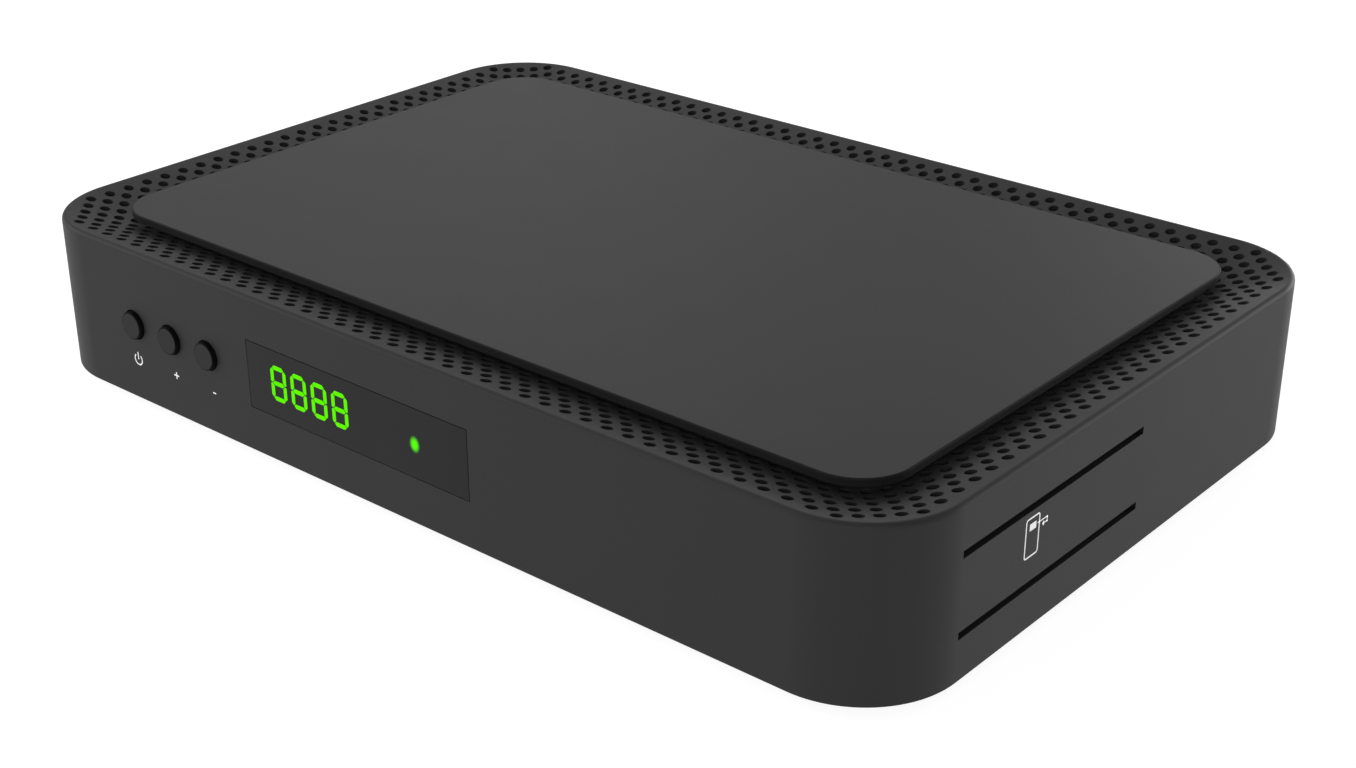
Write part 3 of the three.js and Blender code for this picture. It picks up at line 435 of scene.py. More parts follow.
def triangulate(outline, holes=(), edges=()):
    """Triangles that fill an outline round its holes. The edges are kept as edges."""
    points = []
    loops = []
    for loop in [outline, *holes]:
        loops.append(list(range(len(points), len(points) + len(loop))))
        points.extend(loop)
    lines = []
    for start, end in edges:
        lines.append((len(points), len(points) + 1))
        points.extend([start, end])
    vectors = [Vector(point) for point in points]
    found, _, triangles, sources, _, owners = delaunay_2d_cdt(vectors, lines, loops, 0, JOIN_DISTANCE, True)
    places = [points[source[0]] if source else tuple(place) for place, source in zip(found, sources)]
    filled = []
    for triangle, owner in zip(triangles, owners):
        if list(owner) == [0]:
            filled.append(anticlockwise([places[number] for number in triangle]))
    return filled


def anticlockwise(corners):
    (x0, y0), (x1, y1), (x2, y2) = corners
    area = (x1 - x0) * (y2 - y0) - (x2 - x0) * (y1 - y0)
    return corners if area > 0 else corners[::-1]


# Parts of a wall, in the wall's own place

def wall_face(shape, triangles, depth, outward, surface=0):
    for triangle in triangles:
        corners = [(x, y, depth) for x, y in triangle]
        if outward:
            shape.face(corners, [(0, 0, 1)] * 3, surface)
        else:
            shape.face(corners[::-1], [(0, 0, -1)] * 3, surface)


def side_wall(shape, loop, low, high, surface, way):
    """The side of a prism with way 1, or of a hole with -1, smooth where its points carry directions."""
    for ends in zip(loop, loop[1:] + loop[:1]):
        first, second = ends[::way]
        corners = [(*first[:2], low), (*second[:2], low), (*second[:2], high), (*first[:2], high)]
        normals = None
        if len(first) == 4:
            one, other = [(way * end[2], way * end[3], 0) for end in (first, second)]
            normals = [one, other, other, one]
        shape.face(corners, normals, surface)


def hole_wall(shape, loop, low, high, surface=0):
    side_wall(shape, loop, low, high, surface, -1)


def prism(shape, outline, low, high, surface=0, holes=()):
    """A solid between two depths, with an outline that runs anticlockwise and holes through it."""
    filled = triangulate(places_of(outline), [places_of(hole) for hole in holes])
    wall_face(shape, filled, high, True, surface)
    wall_face(shape, filled, low, False, surface)
    side_wall(shape, outline, low, high, surface, 1)
    for hole in holes:
        hole_wall(shape, hole, low, high, surface)


def inlay(shape, outline):
    """A thin printed patch on a wall."""
    prism(shape, outline, 0, INK_HEIGHT)


def rectangle(left, right, bottom, top):
    return [(left, bottom), (right, bottom), (right, top), (left, top)]


def places_of(loop):
    return [point[:2] for point in loop]


# Materials

def link(material, source, target):
    material.node_tree.links.new(source, target)


def add_node(material, kind, **values):
    node = material.node_tree.nodes.new(kind)
    for name, value in values.items():
        if hasattr(node, name):
            setattr(node, name, value)
        else:
            node.inputs[name.replace("_", " ").title()].default_value = value
    return node


def noise_on(material, grain, detail=2):
    """Noise in the object's own space, with features about one grain wide, in millimetres."""
    place = add_node(material, "ShaderNodeTexCoord")
    noise = add_node(material, "ShaderNodeTexNoise", scale=1 / (grain * MM), detail=detail)
    link(material, place.outputs["Object"], noise.inputs["Vector"])
    return noise.outputs["Fac"]


def spread(material, source, low, high):
    """Maps noise to a range of values."""
    node = add_node(material, "ShaderNodeMapRange")
    node.inputs["From Min"].default_value, node.inputs["From Max"].default_value = NOISE_SHARES
    node.inputs["To Min"].default_value = low
    node.inputs["To Max"].default_value = high
    link(material, source, node.inputs["Value"])
    return node.outputs["Result"]


def mixed(material, source, dark, light):
    node = add_node(material, "ShaderNodeMix", data_type="RGBA")
    for socket in node.inputs:
        if socket.type == "RGBA" and socket.name == "A":
            socket.default_value = (*dark, 1)
        if socket.type == "RGBA" and socket.name == "B":
            socket.default_value = (*light, 1)
    link(material, spread(material, source, 0, 1), node.inputs["Factor"])
    return [socket for socket in node.outputs if socket.type == "RGBA"][0]


def surface(
    name, colour, roughness, metallic=0, grain=0.4, relief=0.004, shade=0.04, patch=9, specular=0.5
):
    """A material with a fine grain and relief in millimetres, whose colour and gloss wander by a share
    over patches of a size in millimetres."""
    material = bpy.data.materials.new(name)
    material.use_nodes = True
    shader = material.node_tree.nodes["Principled BSDF"]
    shader.inputs["Metallic"].default_value = metallic
    shader.inputs["Specular IOR Level"].default_value = specular
    wander = noise_on(material, patch)
    dark = [value * (1 - shade) for value in colour]
    light = [value * (1 + shade) for value in colour]
    link(material, mixed(material, wander, dark, light), shader.inputs["Base Color"])
    rough = spread(material, wander, roughness * (1 - shade), roughness * (1 + shade))
    link(material, rough, shader.inputs["Roughness"])
    bump = add_node(material, "ShaderNodeBump")
    bump.inputs["Strength"].default_value = 1
    bump.inputs["Distance"].default_value = relief * MM
    link(material, noise_on(material, grain), bump.inputs["Height"])
    link(material, bump.outputs["Normal"], shader.inputs["Normal"])
    return material


def glowing(name, base, colour, strength):
    """A flat material that gives off light, a little dimmer where the noise thins it. On the lit digits the
    light is real; on the white ink it is painted light.
    """
    material = bpy.data.materials.new(name)
    material.use_nodes = True
    shader = material.node_tree.nodes["Principled BSDF"]
    shader.inputs["Base Color"].default_value = (*base, 1)
    shader.inputs["Specular IOR Level"].default_value = 0
    shader.inputs["Emission Strength"].default_value = strength
    dim = [value * THIN_SHARE for value in colour]
    lit = mixed(material, noise_on(material, THIN_GRAIN), dim, colour)
    link(material, lit, shader.inputs["Emission Color"])
    return material


def glow_spot(name, base, colour, strength, middle, radius, stretch):
    """The window's own surface with a tall spot of light showing through it, fading outwards."""
    material = base.copy()
    material.name = name
    shader = material.node_tree.nodes["Principled BSDF"]
    shader.inputs["Emission Color"].default_value = (*colour, 1)
    place = add_node(material, "ShaderNodeTexCoord")
    offset = add_node(material, "ShaderNodeVectorMath", operation="SUBTRACT")
    offset.inputs[1].default_value = middle
    link(material, place.outputs["Object"], offset.inputs[0])
    squeezed = add_node(material, "ShaderNodeVectorMath", operation="MULTIPLY")
    squeezed.inputs[1].default_value = (1, 1, 1 / stretch)
    link(material, offset.outputs["Vector"], squeezed.inputs[0])
    reach = add_node(material, "ShaderNodeVectorMath", operation="LENGTH")
    link(material, squeezed.outputs["Vector"], reach.inputs[0])
    gloss = shader.inputs["Specular IOR Level"]
    fades = [(shader.inputs["Emission Strength"], strength, 0), (gloss, 0, gloss.default_value)]
    for socket, inside, outside in fades:
        fade = add_node(material, "ShaderNodeMapRange", interpolation_type="SMOOTHERSTEP")
        fade.inputs["From Min"].default_value = radius * MM * GLOW_CORE_SHARE
        fade.inputs["From Max"].default_value = radius * MM
        fade.inputs["To Min"].default_value = inside
        fade.inputs["To Max"].default_value = outside
        link(material, reach.outputs["Value"], fade.inputs["Value"])
        link(material, fade.outputs["Result"], socket)
    return material


CASE = surface("moulded_case", (0.034, 0.034, 0.0345), 0.6, shade=0.015, specular=0.25)
# Painted shade: the walls of the vents are darker than the case they are cut in.
VENT_WALL_PAINTED_SHADE = surface("vent_wall_painted_shade", (0.022, 0.022, 0.022), 0.7, specular=0.17)
# Painted shade: the walls of the card slots and button holes are darker than the case they are cut in.
SLOT_WALL_PAINTED_SHADE = surface("slot_wall_painted_shade", (0.012, 0.012, 0.012), 0.8, specular=0.1)
PLATE = surface("moulded_plate", (0.034, 0.034, 0.034), 0.55, grain=0.5, shade=0.015, specular=0.25)
# Painted shade: the plate's sides, underside and pegs are made much darker than its top, standing in for
# the shade they lie in.
PLATE_SIDE_PAINTED_SHADE = surface("plate_side_painted_shade", (0.012, 0.012, 0.012), 0.7, specular=0.2)
BUTTON = surface("button_face", (0.0165, 0.0165, 0.0165), 0.6, shade=0.02, specular=0.25)
# Painted shade: the button's stem, flange, sides and rounded edge are near black, far darker than its face.
BUTTON_SIDE_PAINTED_SHADE = surface("button_side_painted_shade", (0.003, 0.003, 0.003), 0.75, specular=0.1)
WINDOW = surface("smoked_window", (0.006, 0.006, 0.006), 0.45, relief=0.001, specular=0.2)
BLACK = surface("black_plastic", (0.012, 0.012, 0.012), 0.6)
MODULE = surface("digit_module", (0.014, 0.014, 0.015), 0.5)
LENS = surface("led_lens", (0.05, 0.6, 0.04), 0.25)
BOARD = surface("circuit_board", (0.012, 0.085, 0.03), 0.4, shade=0.15, patch=4)
EPOXY = surface("chip_epoxy", (0.013, 0.013, 0.014), 0.65)
READER = surface("reader_plastic", (0.006, 0.006, 0.0065), 0.7, specular=0.15)
SLEEVE = surface("capacitor_sleeve", (0.02, 0.03, 0.08), 0.35)
PAINTED = surface("painted_steel", (0.02, 0.02, 0.021), 0.55, grain=0.25, relief=0.008)
STAMPED = surface("stamped_steel", (0.42, 0.42, 0.42), 0.35, metallic=1)
ZINC = surface("zinc_screw", (0.45, 0.45, 0.47), 0.38, metallic=1)
NICKEL = surface("nickel_plate", (0.55, 0.53, 0.49), 0.3, metallic=1)
GOLD = surface("gold_contact", (0.8, 0.55, 0.18), 0.25, metallic=1)
INSULATOR = surface("white_insulator", (0.75, 0.74, 0.7), 0.5)
BRASS = surface("turned_brass", (0.55, 0.4, 0.17), 0.35, metallic=1)
ALUMINIUM = surface("extruded_aluminium", (0.42, 0.43, 0.44), 0.42, metallic=1)
RUBBER = surface("foot_rubber", (0.008, 0.008, 0.008), 0.85, grain=0.3, relief=0.01)
# White print that also glows a little: the white is the ink's own, the glow is painted light.
INK_WITH_PAINTED_GLOW = glowing("white_ink_painted_glow", (0.9, 0.9, 0.9), (1, 1, 1), 0.45)
SEGMENT = glowing("lit_segment", (0, 0.01, 0), (0.13, 1, 0), 1)

SLOT_MATERIALS = {
    "case_plastic": CASE,
    "plate_plastic": PLATE,
    "button_plastic": BUTTON,
    "smoked_window": WINDOW,
    "black_plastic": BLACK,
    "digit_module": MODULE,
    "led_lens": LENS,
    "circuit_board": BOARD,
    "chip_epoxy": EPOXY,
    "reader_plastic": READER,
    "capacitor_sleeve": SLEEVE,
    "panel_steel": PAINTED,
    "switch_steel": STAMPED,
    "screw_steel": ZINC,
    "nickel_plate": NICKEL,
    "spacer_brass": BRASS,
    "heat_sink_aluminium": ALUMINIUM,
    "foot_rubber": RUBBER,
}


def dress_cad_nodes():
    """Every CAD node takes the finish of its own slot."""
    for row in frame["record"]["subparts"]:
        node = frame["nodes"][row["node"]]
        node.data.materials.clear()
        node.data.materials.append(SLOT_MATERIALS[row["material_slot"]])


# Case: one moulding with its walls, rim and perforated deck

def deck_level(inset):
    return CASE_TOP - DECK_SLOPE * min(inset, DECK_SLOPE_RUN)


def case_inset(x, y):
    """Distance from the outline of the case, and the outward direction there."""
    past_x = abs(x) - (CASE_WIDTH / 2 - CORNER_RADIUS)
    past_y = abs(y) - (CASE_DEPTH / 2 - CORNER_RADIUS)
    sign_x = math.copysign(1, x)
    sign_y = math.copysign(1, y)
    if past_x > 0 and past_y > 0:
        reach = math.hypot(past_x, past_y)
        return CORNER_RADIUS - reach, (sign_x * past_x / reach, sign_y * past_y / reach)
    if past_x > past_y:
        return CORNER_RADIUS - past_x, (sign_x, 0)
    return CORNER_RADIUS - past_y, (0, sign_y)


def vent_middles():
    """Middles of the vents, ring by ring from the rim inwards."""
    middles = []
    for column in range(-VENT_LAST_COLUMN, VENT_LAST_COLUMN + 1):
        for row in range(-VENT_LAST_ROW, VENT_LAST_ROW + 1):
            from_corner = (VENT_CORNER_SUM - abs(column) - abs(row)) / 2
            depth = min(VENT_LAST_COLUMN - abs(column), VENT_LAST_ROW - abs(row), from_corner)
            if (column + row) % 2 == 0 and 0 <= depth < VENT_RINGS:
                middles.append((column * VENT_PITCH_X / 2, row * VENT_PITCH_Y / 2))
    return middles


def crease_edges(stations, middles):
    """The line where the slope of the deck meets its floor, left out where it comes near a vent."""
    line = places_of(ring(stations, DECK_SLOPE_RUN, 0))
    reach = VENT_RADIUS + CREASE_CLEARANCE
    edges = []
    for start, end in zip(line, line[1:] + line[:1]):
        near = any(math.dist(point, middle) < reach for point in (start, end) for middle in middles)
        if not near:
            edges.append((start, end))
    return edges


def deck_normal(corner, flat):
    if flat:
        return (0, 0, 1)
    _, (out_x, out_y) = case_inset(*corner)
    size = math.hypot(1, DECK_SLOPE)
    return (-out_x * DECK_SLOPE / size, -out_y * DECK_SLOPE / size, 1 / size)


def deck_skin(shape, stations, edge_inset, vents, edges, drop):
    """The upper or lower skin of the deck, pierced by the vents."""
    outline = places_of(ring(stations, edge_inset, 0))
    for triangle in triangulate(outline, [places_of(vent) for vent in vents], edges):
        middle = [sum(values) / 3 for values in zip(*triangle)]
        flat = case_inset(*middle)[0] > DECK_SLOPE_RUN
        corners = [(x, y, deck_level(case_inset(x, y)[0]) - drop) for x, y in triangle]
        normals = [deck_normal(corner, flat) for corner in triangle]
        if drop:
            down = [(-x, -y, -z) for x, y, z in normals]
            shape.face(corners[::-1], down[::-1])
        else:
            shape.face(corners, normals)


# The vent walls take a darker material as painted shade.
def vent_walls(shape, vents):
    for vent in vents:
        for here, there in zip(vent, vent[1:] + vent[:1]):
            top_here = deck_level(case_inset(*here[:2])[0])
            top_there = deck_level(case_inset(*there[:2])[0])
            corners = [
                (*there[:2], top_there - DECK_THICKNESS),
                (*here[:2], top_here - DECK_THICKNESS),
                (*here[:2], top_here),
                (*there[:2], top_there),
            ]
            inward_here = (-here[2], -here[3], 0)
            inward_there = (-there[2], -there[3], 0)
            normals = [inward_there, inward_here, inward_here, inward_there]
            shape.face(corners, normals, PAINTED_SHADE_VENT_SURFACE)


def rim_run():
    """The fillet between the wall and the slope of the deck."""
    end = QUARTER_TURN + math.atan(DECK_SLOPE)
    drop = DECK_SLOPE * RIM_FILLET + RIM_FILLET * math.hypot(1, DECK_SLOPE)
    return rounded(RIM_FILLET, CASE_TOP - drop, RIM_FILLET, 0, end)


def pierced_wall(shape, place, outer, inner, loops):
    """A flat wall with slots that go straight through it, their walls darkened as painted shade."""
    shape.place = place
    holes = [places_of(loop) for loop in loops]
    wall_face(shape, triangulate(outer, holes), 0, True)
    wall_face(shape, triangulate(inner, holes), -WALL, False)
    for loop in loops:
        hole_wall(shape, loop, -WALL, 0, PAINTED_SHADE_SLOT_SURFACE)
    shape.place = Matrix.Identity(4)


def front_wall(shape, top, ledge):
    """The front wall, with the recess of the window and the holes of the buttons."""
    shape.place = FRONT_WALL
    reach = CASE_WIDTH / 2 - CORNER_RADIUS
    half = WINDOW_HEIGHT / 2
    recess = rectangle(
        WINDOW_LEFT - WINDOW_SEAM,
        WINDOW_RIGHT + WINDOW_SEAM,
        PANEL_AXIS - half - WINDOW_SEAM,
        PANEL_AXIS + half + WINDOW_SEAM,
    )
    opening = rectangle(
        WINDOW_LEFT + WINDOW_LEDGE,
        WINDOW_RIGHT - WINDOW_LEDGE,
        PANEL_AXIS - half + WINDOW_LEDGE,
        PANEL_AXIS + half - WINDOW_LEDGE,
    )
    buttons = [
        circle(BUTTON_RADIUS + SEAM, BUTTON_SIDES, x, PANEL_AXIS) for x in BUTTON_PLACES.values()
    ]
    holes = [places_of(loop) for loop in buttons]
    outer = rectangle(-reach, reach, CASE_BOTTOM + BOTTOM_FILLET, top)
    inner = rectangle(-reach, reach, CASE_BOTTOM, ledge)
    wall_face(shape, triangulate(outer, [recess, *holes]), 0, True)
    wall_face(shape, triangulate(recess, [opening]), -WINDOW_RECESS, True)
    wall_face(shape, triangulate(inner, [opening, *holes]), -WALL, False)
    hole_wall(shape, recess, -WINDOW_RECESS, 0)
    hole_wall(shape, opening, -WALL, -WINDOW_RECESS)
    # The walls of the button holes are darkened as painted shade.
    for loop in buttons:
        hole_wall(shape, loop, -WALL, 0, PAINTED_SHADE_SLOT_SURFACE)
    shape.place = Matrix.Identity(4)


def rear_wall(shape, top, ledge, foot):
    """The rear wall round the notch for the rear panel, and the sides of the notch."""
    shape.place = REAR_WALL
    reach = CASE_WIDTH / 2 - CORNER_RADIUS
    half = NOTCH_HALF_WIDTH

    def outline(low, high):
        return [
            (-reach, low), (-half, low), (-half, NOTCH_TOP), (half, NOTCH_TOP), (half, low),
            (reach, low), (reach, high), (half, high), (-half, high), (-reach, high),
        ]

    wall_face(shape, triangulate(outline(CASE_BOTTOM + BOTTOM_FILLET, top)), 0, True)
    wall_face(shape, triangulate(outline(CASE_BOTTOM, ledge)), -WALL, False)
    roof = [(-half, 0), (-half, -WALL), (half, -WALL), (half, 0)]
    shape.face([(x, NOTCH_TOP, out) for x, out in roof])
    side = [(-WALL, CASE_BOTTOM), *[(-inset, level) for inset, level, _ in foot]]
    side += [(0, NOTCH_TOP), (-WALL, NOTCH_TOP)]
    shape.face([(-half, level, out) for out, level in side][::-1])
    shape.face([(half, level, out) for out, level in side])
    shape.place = Matrix.Identity(4)


def make_case():
    shape = Shape()
    stops = (NOTCH_HALF_WIDTH, -NOTCH_HALF_WIDTH)
    stations, sides = rounded_rectangle(CASE_WIDTH, CASE_DEPTH, CORNER_RADIUS, stops)
    notch = [number for number, side in enumerate(sides) if side == "notch"]
    flats = [number for number, side in enumerate(sides) if side not in ("corner", "left")]
    rim = rim_run()
    wall_top = rim[0][1]
    edge_inset = rim[-1][0]
    underside = deck_level(RIM_LIP) - DECK_THICKNESS
    ledge = deck_level(WALL) - DECK_THICKNESS - LEDGE_GAP
    foot = rounded(BOTTOM_FILLET, CASE_BOTTOM + BOTTOM_FILLET, BOTTOM_FILLET, -QUARTER_TURN, 0)
    sweep(shape, stations, straight(WALL, CASE_BOTTOM, BOTTOM_FILLET, CASE_BOTTOM), 0, notch)
    sweep(shape, stations, foot, 0, notch)
    sweep(shape, stations, straight(0, CASE_BOTTOM + BOTTOM_FILLET, 0, wall_top), 0, flats)
    sweep(shape, stations, rim)
    sweep(shape, stations, straight(RIM_LIP, underside, RIM_LIP, ledge))
    sweep(shape, stations, straight(RIM_LIP, ledge, WALL, ledge))
    sweep(shape, stations, straight(WALL, ledge, WALL, CASE_BOTTOM), 0, flats)

    middles = vent_middles()
    vents = [circle(VENT_RADIUS, VENT_SIDES, x, y) for x, y in middles]
    edges = crease_edges(stations, middles)
    deck_skin(shape, stations, edge_inset, vents, edges, 0)
    deck_skin(shape, stations, RIM_LIP, vents, edges, DECK_THICKNESS)
    vent_walls(shape, vents)

    front_wall(shape, wall_top, ledge)
    rear_wall(shape, wall_top, ledge, foot)
    reach = CASE_DEPTH / 2 - CORNER_RADIUS
    slots = [
        rectangle(SLOT_FRONT, SLOT_FRONT + SLOT_LENGTH, level - SLOT_HEIGHT / 2, level + SLOT_HEIGHT / 2)
        for level in SLOT_LEVELS
    ]
    outer = rectangle(-reach, reach, CASE_BOTTOM + BOTTOM_FILLET, wall_top)
    inner = rectangle(-reach, reach, CASE_BOTTOM, ledge)
    pierced_wall(shape, RIGHT_WALL, outer, inner, slots)
    # The walls of the slots and vents are darker than the case: painted shade.
    materials = [CASE, SLOT_WALL_PAINTED_SHADE, VENT_WALL_PAINTED_SHADE]
    return add_piece(
        shape, "case_shell", "receiver", materials, ("upper_case", "vent_deck")
    )


# Top plate, buttons and feet

def make_plate():
    shape = Shape()
    stations, _ = rounded_rectangle(PLATE_WIDTH, PLATE_DEPTH, PLATE_RADIUS)
    low = PLATE_BOTTOM + PLATE_EDGE
    high = PLATE_TOP - PLATE_EDGE
    # Its sides, underside and pegs take the darker material of painted shade.
    sweep(shape, stations, rounded(PLATE_EDGE, low, PLATE_EDGE, -QUARTER_TURN, 0), PAINTED_SHADE_SIDE_SURFACE)
    sweep(shape, stations, straight(0, low, 0, high), PAINTED_SHADE_SIDE_SURFACE)
    sweep(shape, stations, rounded(PLATE_EDGE, high, PLATE_EDGE, 0, QUARTER_TURN), PAINTED_SHADE_SIDE_SURFACE)
    shape.face(ring(stations, PLATE_EDGE, PLATE_TOP))
    shape.face(ring(stations, PLATE_EDGE, PLATE_BOTTOM)[::-1], None, PAINTED_SHADE_SIDE_SURFACE)
    steps = [
        (PLATE_COLLAR_RADIUS, PLATE_COLLAR_BOTTOM, PLATE_BOTTOM),
        (PLATE_PEG_RADIUS, PLATE_PEG_BOTTOM, PLATE_COLLAR_BOTTOM),
    ]
    for share_x, share_y in PLATE_PEG_SHARES:
        x = share_x * PLATE_WIDTH
        y = share_y * PLATE_DEPTH
        for radius, bottom, top in steps:
            turned(shape, x, y, through([(0, bottom), (radius, bottom), (radius, top)], PAINTED_SHADE_SIDE_SURFACE))
    return add_piece(shape, "plate", "receiver", [PLATE, PLATE_SIDE_PAINTED_SHADE], ("top_plate",))


def make_button(node, x):
    shape = Shape()
    shape.place = FRONT_WALL
    edge = BUTTON_PROUD - BUTTON_EDGE
    # The stem, flange, sides and rounded edge take the near-black material of painted shade.
    side = through([
        (0, BUTTON_STEM_END),
        (BUTTON_STEM_RADIUS, BUTTON_STEM_END),
        (BUTTON_STEM_RADIUS, BUTTON_FLANGE_BACK),
        (BUTTON_FLANGE_RADIUS, BUTTON_FLANGE_BACK),
        (BUTTON_FLANGE_RADIUS, BUTTON_FLANGE_FRONT),
        (BUTTON_RADIUS, BUTTON_FLANGE_FRONT),
        (BUTTON_RADIUS, edge),
    ], PAINTED_SHADE_SIDE_SURFACE)
    rim = rounded(BUTTON_EDGE - BUTTON_RADIUS, edge, BUTTON_EDGE, 0, QUARTER_TURN)
    face = through([(BUTTON_RADIUS - BUTTON_EDGE, BUTTON_PROUD), (0, BUTTON_PROUD)])
    turned(shape, x, PANEL_AXIS, [*side, (rim, PAINTED_SHADE_SIDE_SURFACE), *face], BUTTON_SIDES)
    return add_piece(
        shape, node + "_cap", BUTTON_BODIES[node], [BUTTON, BUTTON_SIDE_PAINTED_SHADE], (node,)
    )


def make_foot(side_x, side_y, sign_x, sign_y):
    shape = Shape()
    sole = through([(0, 0), (FOOT_RADIUS - FOOT_EDGE, 0)])
    edge = rounded(FOOT_EDGE - FOOT_RADIUS, FOOT_EDGE, FOOT_EDGE, -QUARTER_TURN, 0)
    side = through([(FOOT_RADIUS, FOOT_EDGE), (FOOT_RADIUS, FOOT_TOP), (0, FOOT_TOP)])
    x = sign_x * (CASE_WIDTH / 2 - FOOT_INSET)
    y = sign_y * (CASE_DEPTH / 2 - FOOT_INSET)
    turned(shape, x, y, [*sole, (edge, 0), *side])
    node = f"foot_{side_y}_{side_x}"
    return add_piece(shape, node + "_pad", "receiver", [RUBBER], (node,))


# Rear panel, connectors and the screws of the base cover

def rear_box(node):
    """Left, right, bottom and top of a node, seen on the rear wall."""
    low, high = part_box(node)
    return -high.x / MM, -low.x / MM, low.z / MM, high.z / MM


def rear_middle(node):
    left, right, bottom, top = rear_box(node)
    return (left + right) / 2, (bottom + top) / 2


def dc_axis():
    left, right, bottom, _ = rear_box("dc_inlet")
    return (left + right) / 2, bottom + DC_AXIS_RISE


def make_rear_panel():
    """A bent sheet whose foot lies on the base cover, cut out for the connectors."""
    shape = Shape()
    shape.place = REAR_WALL
    half = NOTCH_HALF_WIDTH - SEAM
    holes = [
        circle(LNB_THREAD_RADIUS + SOCKET_GAP, ROUND_SIDES, *rear_middle("lnb_input")),
        circle(AV_COLLAR_RADIUS + SOCKET_GAP, ROUND_SIDES, *rear_middle("av_jack")),
        circle(DC_BORE + SOCKET_GAP, ROUND_SIDES, *dc_axis()),
    ]
    for node in SQUARE_SOCKETS:
        left, right, bottom, top = rear_box(node)
        gap = SOCKET_GAP
        holes.append(rectangle(left - gap, right + gap, bottom - gap, top + gap))
    sheet = rectangle(-half, half, REAR_PANEL_BOTTOM, NOTCH_TOP - SEAM)
    prism(shape, sheet, -REAR_PANEL_THICKNESS, 0, 0, holes)
    prism(shape, rectangle(-half, half, *REAR_FLANGE), -REAR_FLANGE_DEPTH, -REAR_PANEL_THICKNESS / 2)
    return add_piece(shape, "rear_sheet", "receiver", [PAINTED], ("rear_panel",))


def make_lnb_input():
    """A threaded socket with its nut, and an insulator round the contact in its bore."""
    shape = Shape()
    shape.place = REAR_WALL
    x, z = rear_middle("lnb_input")
    crest = LNB_THREAD_RADIUS
    groove = LNB_THREAD_RADIUS - LNB_THREAD_DEPTH
    contact_end = LNB_INSULATOR_FACE - LNB_CONTACT_DEPTH
    pitch = (LNB_END - LNB_NUT[1]) / LNB_THREADS
    runs = through([(0, LNB_START), (crest, LNB_START), (crest, LNB_NUT[1])])
    for number in range(LNB_THREADS):
        level = LNB_NUT[1] + number * pitch
        end = groove if number == LNB_THREADS - 1 else crest
        runs += through([(crest, level), (groove, level + pitch / 2), (end, level + pitch)])
    runs += through([(groove, LNB_END), (LNB_BORE, LNB_END), (LNB_BORE, LNB_INSULATOR_FACE)])
    rim = (LNB_CONTACT_RADIUS, LNB_INSULATOR_FACE)
    runs += through([(LNB_BORE, LNB_INSULATOR_FACE), rim], INSULATOR_SURFACE)
    runs += through([rim, (LNB_CONTACT_RADIUS, contact_end), (0, contact_end)], CONTACT_SURFACE)
    turned(shape, x, z, runs)
    nut = places_of(circle(LNB_NUT_RADIUS, LNB_NUT_SIDES, x, z))
    prism(shape, nut, *LNB_NUT, 0, [circle(LNB_THREAD_RADIUS, ROUND_SIDES, x, z)])
    return add_piece(
        shape, "lnb_socket", "receiver", [NICKEL, INSULATOR, BLACK], ("lnb_input",)
    )


def bored_block(shape, node, back, bore_end, x, z, radius):
    """A connector's housing with a round bore from its face."""
    outline = rectangle(*rear_box(node))
    prism(shape, outline, back, bore_end)
    prism(shape, outline, bore_end, SOCKET_FACE, 0, [circle(radius, ROUND_SIDES, x, z)])


def make_av_jack():
    shape = Shape()
    shape.place = REAR_WALL
    x, z = rear_middle("av_jack")
    bored_block(shape, "av_jack", AV_BACK, AV_BORE_END, x, z, AV_BORE)
    turned(shape, x, z, through([
        (AV_COLLAR_RADIUS, SOCKET_FACE),
        (AV_COLLAR_RADIUS, AV_COLLAR_END),
        (AV_BORE, AV_COLLAR_END),
        (AV_BORE, SOCKET_FACE),
    ]))
    return add_piece(shape, "av_socket", "receiver", [BLACK], ("av_jack",))


def make_dc_inlet():
    """The power inlet: a bore round a centre pin."""
    shape = Shape()
    shape.place = REAR_WALL
    x, z = dc_axis()
    bored_block(shape, "dc_inlet", DC_BACK, DC_BORE_END, x, z, DC_BORE)
    neck = DC_PIN_END - DC_PIN_TIP
    pin = through([(DC_PIN_RADIUS, DC_BORE_END), (DC_PIN_RADIUS, neck)], PIN_SURFACE)
    edge = rounded(DC_PIN_TIP - DC_PIN_RADIUS, neck, DC_PIN_TIP, 0, QUARTER_TURN)
    tip = through([(DC_PIN_RADIUS - DC_PIN_TIP, DC_PIN_END), (0, DC_PIN_END)], PIN_SURFACE)
    turned(shape, x, z, [*pin, (edge, PIN_SURFACE), *tip])
    return add_piece(shape, "dc_socket", "receiver", [BLACK, NICKEL], ("dc_inlet",))


def make_plug_contacts():
    """The row of contacts under the roof of the network jack."""
    shape = Shape()
    shape.place = REAR_WALL
    middle, _ = rear_middle("ethernet_jack")
    _, _, bottom, _ = rear_box("ethernet_jack")
    low = bottom + PLUG_CONTACT_RISE
    half = PLUG_CONTACT_WIDTH / 2
    for number in range(PLUG_CONTACTS):
        x = middle + (number - (PLUG_CONTACTS - 1) / 2) * PLUG_CONTACT_PITCH
        prism(shape, rectangle(x - half, x + half, low, low + PLUG_CONTACT_HEIGHT), *PLUG_CONTACT_REACH)
    return add_piece(shape, "ethernet_contacts", "receiver", [GOLD])


